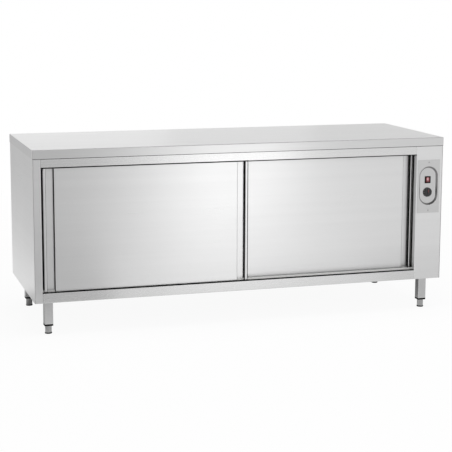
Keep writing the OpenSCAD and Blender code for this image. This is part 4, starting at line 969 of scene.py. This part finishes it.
# %% Painted shade strips in the grips
# painted shade: black strips on the grip walls stand where shade falls in the recess
OUTER_WALL, INNER_WALL, GRIP_DEEP = 0.012, 0.050, 0.018
SHADE_STRIP_FRONT, SHADE_STRIP_THICK = 0.0025, 0.0006
SHADE_STRIP_WALLS = ((OUTER_WALL, 1, 0.0032), (INNER_WALL, -1, 0.001))  # wall, side of the recess, foot's width
DOOR_END, FIN_FRONT, FIN_CLEAR = 0.002, 0.0135, 0.0005
fin_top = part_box("door_guide")[1].z + FIN_CLEAR
for side in ("front", "rear"):
    low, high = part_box(side + "_door_grips")
    lowest, highest = low.z + DOOR_END, high.z - DOOR_END
    grip_shade_strips = []
    for wall, side_way, foot in SHADE_STRIP_WALLS:
        for start, way in ((low.x, 1), (high.x, -1)):
            face = start + way * wall
            for reach, front, back, bottom, top in (
                    (SHADE_STRIP_THICK, SHADE_STRIP_FRONT, GRIP_DEEP, fin_top, highest),
                    (SHADE_STRIP_THICK, SHADE_STRIP_FRONT, FIN_FRONT, lowest, fin_top),
                    (foot, GRIP_DEEP - SHADE_STRIP_THICK, GRIP_DEEP, lowest, highest)):
                edges = sorted((face, face + way * side_way * reach))
                grip_shade_strips.append(rounded_bar((edges[0], low.y + front, bottom),
                                          (edges[1], low.y + back, top), TRIM_ROUND))
    plain_piece(side + "_door_grip_shade_strips", gathered(grip_shade_strips, "grip_shade_strips_mesh"), side + "_door",
                "black_plastic", matt_black)

# %% Guide and painted shade line where the doors meet
GUIDE_ROUND = 0.0002
MEETING_STRIP_WIDE, MEETING_STRIP_FRONT, MEETING_STRIP_ROUND = 0.0020, 0.0008, 0.0004
plain_piece("mill_door_guide", softened("door_guide", GUIDE_ROUND, 2), "cabinet", "stainless_liner",
            lit_guide_steel, "door_guide")
# painted shade: a black strip on the front door's inner end paints the shade line where the doors meet
low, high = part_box("front_door_grips")
meeting_shade_strip = rounded_bar((high.x, low.y + MEETING_STRIP_FRONT, low.z + DOOR_END),
                     (high.x + MEETING_STRIP_WIDE, low.y + FIN_FRONT, high.z - DOOR_END), MEETING_STRIP_ROUND)
plain_piece("front_door_meeting_shade_strip", meeting_shade_strip, "front_door", "black_plastic", matt_black)

# %% [markdown]
# ## Painted shade rings at the feet
# A dark ring round the lower end of each adjustable foot paints the shade and dark reflection
# there. The ring has a rounded rim, so its section is turned round the foot's axis. It rides its own
# foot and goes down with it.

# %% Painted shade rings
SHADE_RING_UP, SHADE_RING_PROUD, SHADE_RING_IN, SHADE_RING_ROUND, SHADE_RING_LIFT = 0.0060, 0.0003, 0.004, 0.0008, 0.0001
SHADE_RING_STEPS, SHADE_RING_SMOOTH = 48, radians(50)


def turned_ring(section, centre):
    shape = bmesh.new()
    rings = []
    for i in range(SHADE_RING_STEPS):
        turn = 2 * pi * i / SHADE_RING_STEPS
        rings.append([shape.verts.new((centre[0] + r * cos(turn), centre[1] + r * sin(turn), z))
                      for r, z in section])
    count = len(section)
    for i, ring in enumerate(rings):
        after = rings[(i + 1) % SHADE_RING_STEPS]
        for k in range(count):
            shape.faces.new((ring[k], after[k], after[(k + 1) % count], ring[(k + 1) % count]))
    bmesh.ops.recalc_face_normals(shape, faces=shape.faces)
    mesh = kept_mesh(shape, "ring")
    mesh.shade_smooth()
    mesh.set_sharp_from_angle(angle=SHADE_RING_SMOOTH)
    return mesh


# painted shade: one dark ring at the lower end of each foot
for corner in CORNERS:
    low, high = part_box("foot_" + corner)
    outer = (high.x - low.x) / 2 + SHADE_RING_PROUD
    inner = outer - SHADE_RING_IN
    section = [(inner, SHADE_RING_LIFT), (outer - SHADE_RING_ROUND, SHADE_RING_LIFT), (outer, SHADE_RING_ROUND),
               (outer, SHADE_RING_UP - SHADE_RING_ROUND / 2), (outer - SHADE_RING_ROUND / 2, SHADE_RING_UP), (inner, SHADE_RING_UP)]
    foot_shade_ring = turned_ring(section, ((low.x + high.x) / 2, (low.y + high.y) / 2))
    plain_piece("foot_shade_ring_" + corner, foot_shade_ring, "foot_" + corner, "black_plastic", matt_black)

# %% [markdown]
# ## Mineral wool
# The slabs behind the skins are soft: cut with a knife, a little uneven, never a sharp block. Each
# copy of a slab is cut into small faces, and every point is drawn inwards by a smooth noise, so the
# wool stays inside the room that its solid holds.

# %% Wool slabs
WOOL_STEP, WOOL_ROUNDS = 0.06, 7
WOOL_SINK, WOOL_WAVES = 0.003, 18.0
SLABS = {"insulation_slabs": "cabinet", "front_door_core": "front_door", "rear_door_core": "rear_door"}


def wool_slab(node):
    shape = merged_copy(node)
    for _ in range(WOOL_ROUNDS):
        long_edges = [e for e in shape.edges if e.calc_length() > WOOL_STEP]
        if not long_edges:
            break
        bmesh.ops.subdivide_edges(shape, edges=long_edges, cuts=1)
        bmesh.ops.triangulate(shape, faces=shape.faces)
    shape.normal_update()
    sinks = [WOOL_SINK * (0.5 + 0.5 * noise.noise(v.co * WOOL_WAVES)) for v in shape.verts]
    for v, sink in zip(shape.verts, sinks):
        v.co -= v.normal * sink
    mesh = kept_mesh(shape, "soft_" + node)
    mesh.shade_smooth()
    return mesh


for node, body in SLABS.items():
    plain_piece("soft_" + node, wool_slab(node), body, "mineral_wool", mineral_wool, node)

# %% [markdown]
# The pieces must stay inside the solids' box.

# %% Finish
print("all pieces made")
